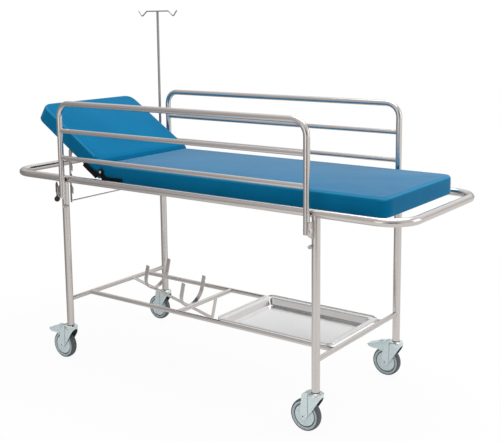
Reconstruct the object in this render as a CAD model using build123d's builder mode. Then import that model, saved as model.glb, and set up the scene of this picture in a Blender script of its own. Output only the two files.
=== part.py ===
from build123d import *
import os
from math import cos, radians, sin, tan

# Patient transfer trolley: a stainless tube frame on four swivel castors carries a padded bed with a
# raised backrest, two fold-down side rails, a drip pole, a lift-out tray and a sloping bottle cradle.
# Millimetres. +X runs to the foot end, -Y is the near side, +Z is up. The origin is on the floor
# under the middle of the frame.

os.makedirs("parts", exist_ok=True)

# Clearances
weld_gap = 0.05        # between welded tubes
run_gap = 0.05         # radial, between a pin and what turns or slides on it
seat_gap = 0.3         # between faces that move past or rest on each other

# Top frame, a closed loop of round tube whose ends are the push handles
frame_length = 2056
frame_width = 686
frame_tube = 32
frame_wall = 1.5
corner_radius = 108

# Legs
leg_spread = 1320
leg_length = 677
leg_wall = 1.5

# Castors
castor_height = 166
castor_trail = 42
wheel_diameter = 125
rim_radius = 50
rim_inside = 46
rim_width = 22
tyre_width = 30
tyre_shoulder = 7
hub_radius = 14
hub_play = 0.5
disc_radius = 44
disc_width = 25
groove_width = 18
axle_radius = 4
axle_head_radius = 7
axle_head_height = 4.5
fork_gap = 3
fork_plate = 3.5
fork_front = 24
fork_back = 51
fork_end = 15
fork_shoulder = 7
fork_hump = 12
fork_hump_back = 28
fork_heel = 1
crown_radius = 31
crown_height = 16
crown_plate = 9
crown_bore = 16
crown_edge = 6
stem_radius = 7
stem_collar = 4
stem_plug_length = 40
stem_nut_radius = 12
stem_nut_height = 8

# Brake pedals, on the near head castor and the far foot castor
pedal_pivot_back = 41
pedal_pivot_height = 145
pedal_pin_radius = 3
pedal_boss = 7
pedal_width = 42
pedal_upper_edge = ((66, 148), (95, 141), (128, 129))              # behind the stem, above the floor
pedal_lower_edge = ((128, 124), (102, 114), (80, 127), (66, 132))

# Lower frame
low_tube = 20
low_wall = 1.5
low_rise = 118
long_bar_spread = 386
middle_bar_x = -130

# Bed
pad_width = 590
pad_height = 58
pad_corner = 30
pad_edge = 14
board_height = 12
board_overlap = 1
board_rise = 2
board_inset = 4
bed_foot_gap = 76      # from the pad's foot end to the frame's end tube, for hands
bed_bar_width = 30
bed_bar_height = 15
bed_bar_head_inset = 60
bed_bar_foot_inset = 120

# Backrest and its side hinges
hinge_x = -460
hinge_rise = 30        # above the boards' upper faces
backrest_length = 462
backrest_angle = 33
fold_bevel = 51
fold_gap = 0.5
leaf_thickness = 4
fixed_leaf_length = 122
moving_leaf_length = 90
leaf_shoulder = 32
leaf_ear = 11
leaf_foot = 36
hinge_pin_radius = 5
hinge_head_radius = 8
hinge_head_height = 3

# Ratchet racks under the backrest
rack_spread = 550
rack_thickness = 4
rack_along = 218
rack_drop = 14
rack_eye = 10
rack_length = 245
rack_neck = 2
rack_tooth = 5
rack_first_tooth = 91
rack_pitch = 52.5
rack_teeth = 3
tooth_hook = 4
tooth_face = 26
tooth_ramp = 38
rack_pin_radius = 4
rack_pin_head = 6.5
rack_pin_head_height = 2
rack_lug = 7
rack_rod_radius = 3
rack_rod_rise = 18
peg_radius = 5
peg_height = 836
peg_x = -656
peg_length = 48

# Side rails
rail_tube = 25
rail_wall = 1.5
rail_bar = 20
rail_bar_wall = 1.5
rail_bend = 58
rail_bar_heights = (1063, 944)
rail_top = 1184
post_spread_x = 1282
post_spread_y = 722
post_overhang = 14
cap_height = 3
cap_plug = 6
cap_edge = 2

# Rail mounts on the legs
pivot_height = 784
pivot_lead = 3         # the pivot stands this far outside the post's axis, so an upright rail leans in
bolt_radius = 5
bolt_head_radius = 9
bolt_head_height = 3
bracket_plate = 5
bracket_gap = 1
bracket_rise = 31
bracket_drop = 34
bracket_eye = 13
bracket_foot = 4
bracket_corner = 6
bumper_radius = 8
buffer_radius = 7
buffer_inset = 12
buffer_drop = 64

# Rail latches, spring plungers under a striker pin on each head-end post
latch_offset_x = 26
latch_offset_y = 9
latch_rod_radius = 3.5
latch_rod_tip = 1
latch_knob_radius = 12.5
latch_knob_drop = 29
latch_guide_radius = 5.5
latch_guide_length = 40
latch_tip_length = 7.1
latch_web = 6
latch_web_height = 16
latch_release = 1.4
striker_radius = 3.5
striker_rise = 54
striker_length = 21

# Drip pole
pole_radius = 6
pole_x = -690
hanger_height = 1583
hanger_radius = 3
hanger_bar = 72
hanger_hook = 103
hanger_tip = 124
hanger_depth = 26
hanger_bend = 8
socket_radius = 10
socket_bottom = 790
socket_top = 862
socket_floor = 6
socket_web = 10
socket_web_height = 18

# Lift-out tray
tray_length = 568
tray_rim = 9
tray_flange = 28
tray_depth = 32
tray_sheet = 1.5
tray_corner = 36
tray_mouth_corner = 24
tray_slope = 20
tray_end_gap = 1.5

# Bottle cradle, a flat strip hung from the head bar to the middle bar
cradle_y = 85
cradle_width = 20
cradle_strip = 4
cradle_slope = 12.8
cradle_length = 514
cradle_upright = 110
cradle_rise = 4
hoop_radius = 75
hoop_height = 137
hoop_band = 4
hoop_places = (150, 374)

# Places that follow from the sizes above
loop_x = (frame_length - frame_tube) / 2
loop_y = (frame_width - frame_tube) / 2
frame_z = castor_height + leg_length
tube_r = frame_tube / 2
leg_x = leg_spread / 2
low_z = castor_height + low_rise
low_r = low_tube / 2
long_y = long_bar_spread / 2
tray_width = long_bar_spread + low_tube
board_bottom = frame_z + board_rise
board_top = board_bottom + board_height
pad_top = board_top + pad_height
hinge_z = board_top + hinge_rise
board_half = pad_width / 2 + board_overlap
bed_foot_x = loop_x - tube_r - bed_foot_gap
post_x = post_spread_x / 2
post_y = post_spread_y / 2
post_r = rail_tube / 2
pivot_y = post_y + pivot_lead
post_bottom = pivot_height - post_overhang
bracket_top = pivot_height + bracket_rise
bracket_bottom = pivot_height - bracket_drop
striker_height = pivot_height + striker_rise
buffer_height = pivot_height - buffer_drop
wheel_r = wheel_diameter / 2
fork_inside = tyre_width / 2 + fork_gap
fork_outside = fork_inside + fork_plate
crown_top = castor_height - stem_collar - seat_gap
crown_bottom = crown_top - crown_height
ends = {"head": -1, "foot": 1}
sides = {"front": -1, "rear": 1}
braked = ("front_head", "rear_foot")


def finish(piece, name):
    """Labels a finished piece and writes its file."""
    piece.part.label = name
    export_step(piece.part, f"parts/{name}.step")


def facing(x, y, z, direction):
    """A sketch plane at a point, with its normal along a direction."""
    return Plane(origin=(x, y, z), z_dir=direction)


def side_view(x, y, z):
    """A sketch plane at a point, seen from the near side: x along X and y along Z."""
    return Plane(origin=(x, y, z), x_dir=(1, 0, 0), z_dir=(0, -1, 0))


# The top frame is two U tubes, bent and butted together under the middle of the bed.
for end, sx in ends.items():
    with BuildPart() as loop:
        with BuildLine():
            FilletPolyline(
                (0, -loop_y, frame_z),
                (sx * loop_x, -loop_y, frame_z),
                (sx * loop_x, loop_y, frame_z),
                (0, loop_y, frame_z),
                radius=corner_radius,
            )
        with BuildSketch(facing(0, -loop_y, frame_z, (sx, 0, 0))):
            Circle(tube_r)
            Circle(tube_r - frame_wall, mode=Mode.SUBTRACT)
        sweep()
    finish(loop, f"top_frame_{end}")

# Each leg is a tube with its top end shaped to the long tube above it.
for side, sy in sides.items():
    for end, sx in ends.items():
        with BuildPart() as leg:
            with BuildSketch(facing(sx * leg_x, sy * loop_y, castor_height, (0, 0, 1))):
                Circle(tube_r)
                Circle(tube_r - leg_wall, mode=Mode.SUBTRACT)
            extrude(amount=leg_length)
            with Locations((sx * leg_x, sy * loop_y, frame_z)):
                Cylinder(tube_r + weld_gap, 2 * frame_tube, rotation=(0, 90, 0), mode=Mode.SUBTRACT)
        finish(leg, f"leg_{side}_{end}")

# The lower frame: a cross bar between each pair of legs, two long bars between those, and a middle bar.
with BuildPart() as low_cross_bars:
    for sx in ends.values():
        with BuildSketch(facing(sx * leg_x, -loop_y, low_z, (0, 1, 0))):
            Circle(low_r)
            Circle(low_r - low_wall, mode=Mode.SUBTRACT)
        extrude(amount=2 * loop_y)
        with Locations((sx * leg_x, -loop_y, low_z), (sx * leg_x, loop_y, low_z)):
            Cylinder(tube_r + weld_gap, 2 * low_tube, mode=Mode.SUBTRACT)
    with BuildSketch(facing(middle_bar_x, -long_y, low_z, (0, 1, 0))):
        Circle(low_r)
        Circle(low_r - low_wall, mode=Mode.SUBTRACT)
    extrude(amount=2 * long_y)
    with Locations((middle_bar_x, -long_y, low_z), (middle_bar_x, long_y, low_z)):
        Cylinder(low_r + weld_gap, 2 * low_tube, rotation=(0, 90, 0), mode=Mode.SUBTRACT)
finish(low_cross_bars, "low_cross_bars")

with BuildPart() as low_long_bars:
    for sy in sides.values():
        with BuildSketch(facing(-leg_x, sy * long_y, low_z, (1, 0, 0))):
            Circle(low_r)
            Circle(low_r - low_wall, mode=Mode.SUBTRACT)
        extrude(amount=2 * leg_x)
        with Locations((-leg_x, sy * long_y, low_z), (leg_x, sy * long_y, low_z)):
            Cylinder(low_r + weld_gap, 2 * low_tube, rotation=(90, 0, 0), mode=Mode.SUBTRACT)
finish(low_long_bars, "low_long_bars")

# Flat cross bars between the long tubes carry the bed board.
first_bar_x = hinge_x + bed_bar_head_inset
last_bar_x = bed_foot_x - bed_bar_foot_inset
with BuildPart() as bed_cross_bars:
    for x in (first_bar_x, (first_bar_x + last_bar_x) / 2, last_bar_x):
        with Locations((x, 0, board_bottom - bed_bar_height / 2)):
            Box(bed_bar_width, 2 * loop_y, bed_bar_height)
    with Locations((0, -loop_y, frame_z), (0, loop_y, frame_z)):
        Cylinder(tube_r + weld_gap, frame_length, rotation=(0, 90, 0), mode=Mode.SUBTRACT)
finish(bed_cross_bars, "bed_cross_bars")

# The fixed part of the bed is a board and a pad with a plain end at the fold.
board_start = hinge_x + fold_gap
board_end = bed_foot_x - board_inset
with BuildPart() as main_board:
    with BuildSketch(Plane.XY.offset(board_bottom)) as main_board_plan:
        with Locations(((board_start + board_end) / 2, 0)):
            Rectangle(board_end - board_start, 2 * board_half)
        fillet(main_board_plan.vertices().group_by(Axis.X)[-1], pad_corner)
    extrude(amount=board_height)
finish(main_board, "main_board")

with BuildPart() as main_pad:
    with BuildSketch(Plane.XY.offset(board_top)) as main_pad_plan:
        with Locations(((board_start + bed_foot_x) / 2, 0)):
            Rectangle(bed_foot_x - board_start, pad_width)
        fillet(main_pad_plan.vertices().group_by(Axis.X)[-1], pad_corner)
    extrude(amount=pad_height)
    fillet(main_pad.faces().sort_by(Axis.Z)[-1].edges().sort_by(Axis.X)[1:], pad_edge)
finish(main_pad, "main_pad")

# The backrest is drawn along its own slope: u runs from the hinge to the head end, w stands square to it.
# Above the hinge its pad is cut back, so that it can rise past the end of the fixed pad.
slope_cos = cos(radians(backrest_angle))
slope_sin = sin(radians(backrest_angle))
along_back = (-slope_cos, 0, slope_sin)
square_to_back = (slope_sin, 0, slope_cos)


def back_point(u, y, w):
    """The place of a point of the backrest, from its own u and w."""
    return (hinge_x - u * slope_cos + w * slope_sin, y, hinge_z + u * slope_sin + w * slope_cos)


def back_face(w):
    """A sketch plane that lies in the backrest, w above the hinge."""
    return Plane(origin=back_point(0, 0, w), x_dir=along_back, z_dir=square_to_back)


def back_side(y):
    """A sketch plane across the backrest's thickness: x along u and y along w."""
    return Plane(origin=back_point(0, y, 0), x_dir=along_back, z_dir=(0, 1, 0))


back_board_top = -hinge_rise
back_board_bottom = -hinge_rise - board_height
back_board_end = backrest_length - board_inset
with BuildPart() as backrest_board:
    with BuildSketch(back_face(back_board_bottom)) as back_board_plan:
        with Locations(((fold_gap + back_board_end) / 2, 0)):
            Rectangle(back_board_end - fold_gap, 2 * board_half)
        fillet(back_board_plan.vertices().group_by(Axis.X)[-1], pad_corner)
    extrude(amount=board_height)
finish(backrest_board, "backrest_board")

with BuildPart() as backrest_pad:
    with BuildSketch(back_face(back_board_top)) as back_pad_plan:
        with Locations(((fold_gap + backrest_length) / 2, 0)):
            Rectangle(backrest_length - fold_gap, pad_width)
        fillet(back_pad_plan.vertices().group_by(Axis.X)[-1], pad_corner)
    extrude(amount=pad_height)
    back_top = backrest_pad.faces().sort_by(Axis((0, 0, 0), square_to_back))[-1]
    fillet(back_top.edges().sort_by(Axis((0, 0, 0), along_back))[1:], pad_edge)
    with BuildSketch(back_side(0)):
        Polygon(
            (0, 0),
            (fold_gap, 0),
            (fold_gap + pad_height * tan(radians(fold_bevel)), pad_height),
            (0, pad_height),
            align=None,
        )
    extrude(amount=pad_width, both=True, mode=Mode.SUBTRACT)
finish(backrest_pad, "backrest_pad")

# The side hinges: each leaf is a strip along a board's edge with an ear that rises to the pivot. The
# backrest's leaves stand outside the fixed ones and are packed out to reach their board.


def leaf_outline(length):
    """A hinge leaf's outline from the pivot: along its board's edge and back up to the ear."""
    return (
        (fold_gap, back_board_bottom),
        (length, back_board_bottom),
        (length, back_board_top),
        (leaf_shoulder, back_board_top),
        (leaf_ear, 0),
        (-leaf_ear, 0),
    )


leaf_stack = 2 * leaf_thickness + seat_gap
with BuildPart() as hinge_fixed_leaves:
    for sy in sides.values():
        with BuildSketch(side_view(hinge_x, sy * (board_half + leaf_thickness / 2), hinge_z)):
            Polygon(*leaf_outline(fixed_leaf_length), align=None)
            Circle(leaf_ear)
            Circle(hinge_pin_radius + run_gap, mode=Mode.SUBTRACT)
        extrude(amount=leaf_thickness / 2, both=True)
finish(hinge_fixed_leaves, "hinge_fixed_leaves")

with BuildPart() as hinge_moving_leaves:
    for sy in sides.values():
        with BuildSketch(back_side(sy * (board_half + leaf_stack - leaf_thickness / 2))):
            Polygon(*leaf_outline(moving_leaf_length), align=None)
            Circle(leaf_ear)
            Circle(hinge_pin_radius + run_gap, mode=Mode.SUBTRACT)
        extrude(amount=leaf_thickness / 2, both=True)
        with BuildSketch(back_side(sy * (board_half + leaf_stack / 2))):
            with Locations(((leaf_foot + moving_leaf_length) / 2, (back_board_bottom + back_board_top) / 2)):
                Rectangle(moving_leaf_length - leaf_foot, board_height)
        extrude(amount=leaf_stack / 2, both=True)
finish(hinge_moving_leaves, "hinge_moving_leaves")

with BuildPart() as hinge_pins:
    for sy in sides.values():
        with BuildSketch(facing(hinge_x, sy * board_half, hinge_z, (0, sy, 0))):
            Circle(hinge_pin_radius)
        extrude(amount=leaf_stack + seat_gap)
        with BuildSketch(facing(hinge_x, sy * (board_half + leaf_stack + seat_gap), hinge_z, (0, sy, 0))):
            Circle(hinge_head_radius)
        extrude(amount=hinge_head_height)
finish(hinge_pins, "hinge_pins")

# A lug under each edge of the backrest holds the pin that a rack hangs from.
rack_y = rack_spread / 2
rack_w = back_board_bottom - rack_drop
lug_y = rack_y - rack_thickness / 2 - seat_gap - rack_lug
with BuildPart() as rack_lugs:
    for sy in sides.values():
        with BuildSketch(back_side(sy * (lug_y + rack_lug / 2))):
            with Locations((rack_along, rack_w + rack_drop / 2)):
                Rectangle(2 * rack_eye, rack_drop)
            with Locations((rack_along, rack_w)):
                Circle(rack_eye)
        extrude(amount=rack_lug / 2, both=True)
        pin_x, pin_y, pin_z = back_point(rack_along, sy * lug_y, rack_w)
        pin_length = rack_lug + rack_thickness + 2 * seat_gap
        with BuildSketch(facing(pin_x, pin_y, pin_z, (0, sy, 0))):
            Circle(rack_pin_radius)
        extrude(amount=pin_length)
        with BuildSketch(facing(pin_x, pin_y + sy * pin_length, pin_z, (0, sy, 0))):
            Circle(rack_pin_head)
        extrude(amount=rack_pin_head_height)
finish(rack_lugs, "rack_lugs")

# The racks are strips with hooked teeth that point down, joined at the bottom by a rod.
rack_x, _, rack_z = back_point(rack_along, 0, rack_w)
rack_middle = (rack_neck - rack_eye) / 2
rack_end = (rack_neck + rack_eye) / 2
rack_outline = [(-rack_eye, 0), (-rack_eye, rack_end - rack_length), (rack_neck, rack_end - rack_length)]
for tooth in reversed(range(rack_teeth)):
    tip = -rack_first_tooth - tooth * rack_pitch
    rack_outline += [
        (rack_neck, tip + tooth_hook),
        (rack_neck + rack_tooth, tip),
        (rack_neck + rack_tooth, tip + tooth_face),
        (rack_neck, tip + tooth_ramp),
    ]
rack_outline.append((rack_neck, 0))
with BuildPart() as backrest_racks:
    for sy in sides.values():
        with BuildSketch(side_view(rack_x, sy * rack_y, rack_z)):
            Polygon(*rack_outline, align=None)
            Circle(rack_eye)
            with Locations((rack_middle, rack_end - rack_length)):
                Circle(rack_end)
            Circle(rack_pin_radius + run_gap, mode=Mode.SUBTRACT)
            with Locations((rack_middle, rack_rod_rise - rack_length)):
                Circle(rack_rod_radius + weld_gap, mode=Mode.SUBTRACT)
        extrude(amount=rack_thickness / 2, both=True)
finish(backrest_racks, "backrest_racks")

with BuildPart() as rack_rod:
    with BuildSketch(side_view(rack_x + rack_middle, 0, rack_z + rack_rod_rise - rack_length)):
        Circle(rack_rod_radius)
    extrude(amount=rack_y + rack_thickness, both=True)
finish(rack_rod, "rack_rod")

# A peg on the inner side of each long tube catches the teeth.
with BuildPart() as rack_pegs:
    for sy in sides.values():
        with BuildSketch(facing(peg_x, sy * loop_y, peg_height, (0, -sy, 0))):
            Circle(peg_radius)
        extrude(amount=tube_r + peg_length)
        with Locations((peg_x, sy * loop_y, frame_z)):
            Cylinder(tube_r + weld_gap, 4 * peg_radius, rotation=(0, 90, 0), mode=Mode.SUBTRACT)
        with Locations((-leg_x, sy * loop_y, peg_height)):
            Cylinder(tube_r + weld_gap, 4 * peg_radius, mode=Mode.SUBTRACT)
finish(rack_pegs, "rack_pegs")

# Side rails: a hoop of bent tube stands outside the legs on two pivot bolts, with two bars and two caps.
# The head-end post has a striker pin for the latch.
for side, sy in sides.items():
    with BuildPart() as hoop:
        with BuildLine():
            FilletPolyline(
                (-post_x, sy * post_y, post_bottom),
                (-post_x, sy * post_y, rail_top),
                (post_x, sy * post_y, rail_top),
                (post_x, sy * post_y, post_bottom),
                radius=rail_bend,
            )
        with BuildSketch(facing(-post_x, sy * post_y, post_bottom, (0, 0, 1))):
            Circle(post_r)
            Circle(post_r - rail_wall, mode=Mode.SUBTRACT)
        sweep()
        with BuildSketch(facing(rail_wall - post_x - post_r, sy * post_y, striker_height, (-1, 0, 0))):
            Circle(striker_radius)
        extrude(amount=striker_length + rail_wall)
        with Locations((-post_x, sy * pivot_y, pivot_height), (post_x, sy * pivot_y, pivot_height)):
            Cylinder(bolt_radius + run_gap, 2 * rail_tube, rotation=(0, 90, 0), mode=Mode.SUBTRACT)
    finish(hoop, f"rail_{side}_hoop")

    with BuildPart() as rail_bars:
        for z in rail_bar_heights:
            with BuildSketch(facing(-post_x, sy * post_y, z, (1, 0, 0))):
                Circle(rail_bar / 2)
                Circle(rail_bar / 2 - rail_bar_wall, mode=Mode.SUBTRACT)
            extrude(amount=2 * post_x)
            with Locations((-post_x, sy * post_y, z), (post_x, sy * post_y, z)):
                Cylinder(post_r + weld_gap, 2 * rail_bar, mode=Mode.SUBTRACT)
    finish(rail_bars, f"rail_{side}_bars")

    with BuildPart() as rail_caps:
        for sx in ends.values():
            with BuildSketch(facing(sx * post_x, sy * post_y, post_bottom, (0, 0, -1))):
                Circle(post_r)
            extrude(amount=cap_height)
            with BuildSketch(facing(sx * post_x, sy * post_y, post_bottom, (0, 0, 1))):
                Circle(post_r - rail_wall - weld_gap)
            extrude(amount=cap_plug)
        fillet(rail_caps.faces().filter_by(Axis.Z).group_by(Axis.Z)[0].edges(), cap_edge)
    finish(rail_caps, f"rail_{side}_caps")

# Plates on the legs hold the rails' pivot bolts.
bracket_x = post_x + post_r + bracket_gap + bracket_plate / 2
leg_face = loop_y + tube_r
with BuildPart() as rail_brackets:
    for sy in sides.values():
        for sx in ends.values():
            with BuildSketch(
                Plane(origin=(sx * bracket_x, 0, 0), x_dir=(0, sy, 0), z_dir=(sy, 0, 0))
            ) as bracket_shape:
                Polygon(
                    (loop_y, bracket_top),
                    (loop_y, bracket_bottom),
                    (leg_face + bracket_foot, bracket_bottom),
                    (pivot_y + bracket_eye, pivot_height - bracket_eye / 2),
                    (pivot_y + bracket_eye, pivot_height + bracket_eye / 2),
                    (leg_face + bracket_foot, bracket_top),
                    align=None,
                )
                fillet(bracket_shape.vertices().filter_by(lambda v: v.X > leg_face), bracket_corner)
                with Locations((pivot_y, pivot_height)):
                    Circle(bolt_radius + weld_gap, mode=Mode.SUBTRACT)
            extrude(amount=bracket_plate / 2, both=True)
            with Locations((sx * leg_x, sy * loop_y, (bracket_top + bracket_bottom) / 2)):
                Cylinder(tube_r + weld_gap, bracket_top, mode=Mode.SUBTRACT)
finish(rail_brackets, "rail_brackets")

# The bolts end flush in the far wall of the posts. At the foot end they have a nut behind the plate; at
# the head end they are flush there too, beside the latch.
bolt_start = post_x - post_r + rail_wall
bolt_end = bracket_x + bracket_plate / 2
with BuildPart() as rail_pivot_bolts:
    for sy in sides.values():
        for sx in ends.values():
            with BuildSketch(facing(sx * bolt_start, sy * pivot_y, pivot_height, (sx, 0, 0))):
                Circle(bolt_radius)
            extrude(amount=bolt_end - bolt_start)
        with BuildSketch(facing(bolt_end, sy * pivot_y, pivot_height, (1, 0, 0))):
            RegularPolygon(bolt_head_radius, 6)
        extrude(amount=bolt_head_height)
finish(rail_pivot_bolts, "rail_pivot_bolts")

# Rubber: bumpers on the long tubes, which an upright rail leans on, and buffers on the legs, which a
# lowered rail hangs against.
bumper_end = post_y - post_r - seat_gap
buffer_end = pivot_y + pivot_lead - post_r - seat_gap
with BuildPart() as rail_bumpers:
    for sy in sides.values():
        for sx in ends.values():
            with BuildSketch(facing(sx * post_x, sy * loop_y, frame_z, (0, sy, 0))):
                Circle(bumper_radius)
            extrude(amount=bumper_end - loop_y)
        with Locations((0, sy * loop_y, frame_z)):
            Cylinder(tube_r + weld_gap, frame_length, rotation=(0, 90, 0), mode=Mode.SUBTRACT)
finish(rail_bumpers, "rail_bumpers")

with BuildPart() as rail_buffers:
    for sy in sides.values():
        for sx in ends.values():
            with BuildSketch(facing(sx * (leg_x - buffer_inset), sy * loop_y, buffer_height, (0, sy, 0))):
                Circle(buffer_radius)
            extrude(amount=buffer_end - loop_y)
            with Locations((sx * leg_x, sy * loop_y, buffer_height)):
                Cylinder(tube_r + weld_gap, 4 * buffer_radius, mode=Mode.SUBTRACT)
finish(rail_buffers, "rail_buffers")

# Rail latches: a sleeve on each head leg guides a plunger, and a ball knob pulls it down.
latch_x = -post_x - latch_offset_x
latch_y = post_y + latch_offset_y
latch_tip = striker_height - striker_radius - latch_release
latch_guide_top = latch_tip - latch_tip_length
latch_guide_bottom = latch_guide_top - latch_guide_length
latch_guide_z = (latch_guide_bottom + latch_guide_top) / 2
latch_knob_height = latch_guide_bottom - latch_knob_drop
with BuildPart() as latch_guides:
    for sy in sides.values():
        with BuildSketch(facing(latch_x, sy * latch_y, latch_guide_bottom, (0, 0, 1))):
            Circle(latch_guide_radius)
        extrude(amount=latch_guide_top - latch_guide_bottom)
        with Locations((latch_x, sy * (loop_y + latch_y) / 2, latch_guide_z)):
            Box(latch_web, latch_y - loop_y, latch_web_height)
        with Locations((-leg_x, sy * loop_y, latch_guide_z)):
            Cylinder(tube_r + weld_gap, 2 * latch_web_height, mode=Mode.SUBTRACT)
        with Locations((latch_x, sy * latch_y, latch_guide_z)):
            Cylinder(latch_rod_radius + run_gap, 2 * latch_guide_top, mode=Mode.SUBTRACT)
finish(latch_guides, "latch_guides")

for side, sy in sides.items():
    with BuildPart() as latch_rod:
        with BuildSketch(facing(latch_x, sy * latch_y, latch_knob_height, (0, 0, 1))):
            Circle(latch_rod_radius)
        extrude(amount=latch_tip - latch_knob_height)
        chamfer(latch_rod.faces().sort_by(Axis.Z)[-1].edges(), latch_rod_tip)
    finish(latch_rod, f"latch_{side}_rod")

    with BuildPart() as latch_knob:
        with Locations((latch_x, sy * latch_y, latch_knob_height)):
            Sphere(latch_knob_radius)
        with BuildSketch(facing(latch_x, sy * latch_y, latch_knob_height, (0, 0, 1))):
            Circle(latch_rod_radius + weld_gap)
        extrude(amount=latch_knob_radius, mode=Mode.SUBTRACT)
    finish(latch_knob, f"latch_{side}_knob")

# The drip pole stands in a socket on the outer side of the far tube and carries a wire hanger.
pole_y = loop_y + tube_r + socket_radius
pole_bottom = socket_bottom + socket_floor
with BuildPart() as iv_socket:
    with BuildSketch(facing(pole_x, pole_y, socket_bottom, (0, 0, 1))):
        Circle(socket_radius)
    extrude(amount=socket_top - socket_bottom)
    with Locations((pole_x, (loop_y + pole_y) / 2, frame_z)):
        Box(socket_web, pole_y - loop_y, socket_web_height)
    with Locations((pole_x, loop_y, frame_z)):
        Cylinder(tube_r + weld_gap, 4 * socket_radius, rotation=(0, 90, 0), mode=Mode.SUBTRACT)
    with BuildSketch(facing(pole_x, pole_y, pole_bottom, (0, 0, 1))):
        Circle(pole_radius + run_gap)
    extrude(amount=socket_top - pole_bottom, mode=Mode.SUBTRACT)
finish(iv_socket, "iv_socket")

with BuildPart() as iv_pole:
    with BuildSketch(facing(pole_x, pole_y, pole_bottom, (0, 0, 1))):
        Circle(pole_radius)
    extrude(amount=hanger_height - pole_bottom)
    with Locations((pole_x, pole_y, hanger_height)):
        Cylinder(hanger_radius + weld_gap, 4 * pole_radius, rotation=(0, 90, 0), mode=Mode.SUBTRACT)
finish(iv_pole, "iv_pole")

with BuildPart() as iv_hanger:
    with BuildLine(side_view(pole_x, pole_y, hanger_height)) as hanger_path:
        FilletPolyline(
            (-hanger_tip, 0),
            (-hanger_hook, -hanger_depth),
            (-hanger_bar, 0),
            (hanger_bar, 0),
            (hanger_hook, -hanger_depth),
            (hanger_tip, 0),
            radius=hanger_bend,
        )
    with BuildSketch(Plane(origin=hanger_path.line @ 0, z_dir=hanger_path.line % 0)):
        Circle(hanger_radius)
    sweep()
finish(iv_hanger, "iv_hanger")

# The tray's round rim rests on the long bars; inside it a flange leads to a pan with sloping walls.
tray_x = leg_x - low_r - tray_end_gap - tray_length / 2
rim_z = low_z + low_r + seat_gap + tray_rim / 2
rim_half_x = (tray_length - tray_rim) / 2
rim_half_y = (tray_width - tray_rim) / 2
with BuildPart() as tray:
    with BuildSketch(Plane.XY.offset(rim_z - tray_sheet)):
        with Locations((tray_x, 0)):
            RectangleRounded(2 * rim_half_x, 2 * rim_half_y, tray_corner)
    extrude(amount=tray_sheet)
    with BuildSketch(facing(tray_x, 0, rim_z, (0, 0, -1))):
        RectangleRounded(tray_length - 2 * tray_flange, tray_width - 2 * tray_flange, tray_mouth_corner)
    extrude(amount=tray_depth, taper=tray_slope)
    with BuildSketch(facing(tray_x, 0, rim_z, (0, 0, -1))):
        RectangleRounded(
            tray_length - 2 * tray_flange - 2 * tray_sheet,
            tray_width - 2 * tray_flange - 2 * tray_sheet,
            tray_mouth_corner - tray_sheet,
        )
    extrude(amount=tray_depth - tray_sheet, taper=tray_slope, mode=Mode.SUBTRACT)
    with BuildLine(Plane.XY.offset(rim_z)) as rim_path:
        FilletPolyline(
            (tray_x + rim_half_x, -rim_half_y),
            (tray_x + rim_half_x, rim_half_y),
            (tray_x - rim_half_x, rim_half_y),
            (tray_x - rim_half_x, -rim_half_y),
            close=True,
            radius=tray_corner,
        )
    with BuildSketch(Plane(origin=rim_path.line @ 0, z_dir=rim_path.line % 0)):
        Circle(tray_rim / 2)
    sweep()
finish(tray, "tray")

# The bottle cradle's strip slopes down from the head bar and turns up to the middle bar.
slope = radians(cradle_slope)
cradle_z = low_z + cradle_rise
cradle_side = Plane(origin=(-leg_x, cradle_y, cradle_z), x_dir=(cos(slope), 0, -sin(slope)), z_dir=(0, -1, 0))
with BuildPart() as cradle_bar:
    with BuildSketch(cradle_side):
        with Locations((cradle_length / 2, 0)):
            Rectangle(cradle_length + cradle_strip, cradle_strip)
        with Locations((cradle_length, cradle_upright / 2)):
            Rectangle(cradle_strip, cradle_upright)
    extrude(amount=cradle_width / 2, both=True)
    with Locations((-leg_x, cradle_y, low_z), (middle_bar_x, cradle_y, low_z)):
        Cylinder(low_r + weld_gap, 2 * cradle_width, rotation=(90, 0, 0), mode=Mode.SUBTRACT)
finish(cradle_bar, "cradle_strip")

hoop_outside = hoop_radius + hoop_band / 2
hoop_inside = hoop_radius - hoop_band / 2
with BuildPart() as cradle_hoops:
    for place in hoop_places:
        hoop_base = cradle_side.from_local_coords((place, cradle_strip / 2, 0))
        with BuildSketch(Plane(origin=hoop_base, x_dir=(0, 1, 0), z_dir=(cos(slope), 0, -sin(slope)))):
            with Locations((0, hoop_outside)):
                Circle(hoop_outside)
            with Locations((0, (hoop_outside + hoop_height) / 2)):
                Rectangle(2 * hoop_outside, hoop_height - hoop_outside)
            with Locations((0, hoop_outside)):
                Circle(hoop_inside, mode=Mode.SUBTRACT)
            with Locations((0, hoop_outside + hoop_height / 2)):
                Rectangle(2 * hoop_inside, hoop_height, mode=Mode.SUBTRACT)
        extrude(amount=cradle_width / 2, both=True)
finish(cradle_hoops, "cradle_hoops")

# A stem is plugged into each leg. Its nut holds the castor's crown up against its collar.
nut_top = crown_top - crown_plate - seat_gap
with BuildPart() as castor_stems:
    for sy in sides.values():
        for sx in ends.values():
            with BuildSketch(facing(sx * leg_x, sy * loop_y, castor_height, (0, 0, 1))):
                Circle(tube_r - leg_wall - weld_gap)
            extrude(amount=stem_plug_length)
            with BuildSketch(facing(sx * leg_x, sy * loop_y, castor_height, (0, 0, -1))):
                Circle(tube_r)
            extrude(amount=stem_collar)
            with BuildSketch(facing(sx * leg_x, sy * loop_y, castor_height, (0, 0, -1))):
                Circle(stem_radius)
            extrude(amount=castor_height - nut_top)
            with BuildSketch(facing(sx * leg_x, sy * loop_y, nut_top, (0, 0, -1))):
                RegularPolygon(stem_nut_radius, 6)
            extrude(amount=stem_nut_height)
finish(castor_stems, "castor_stems")

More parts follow.
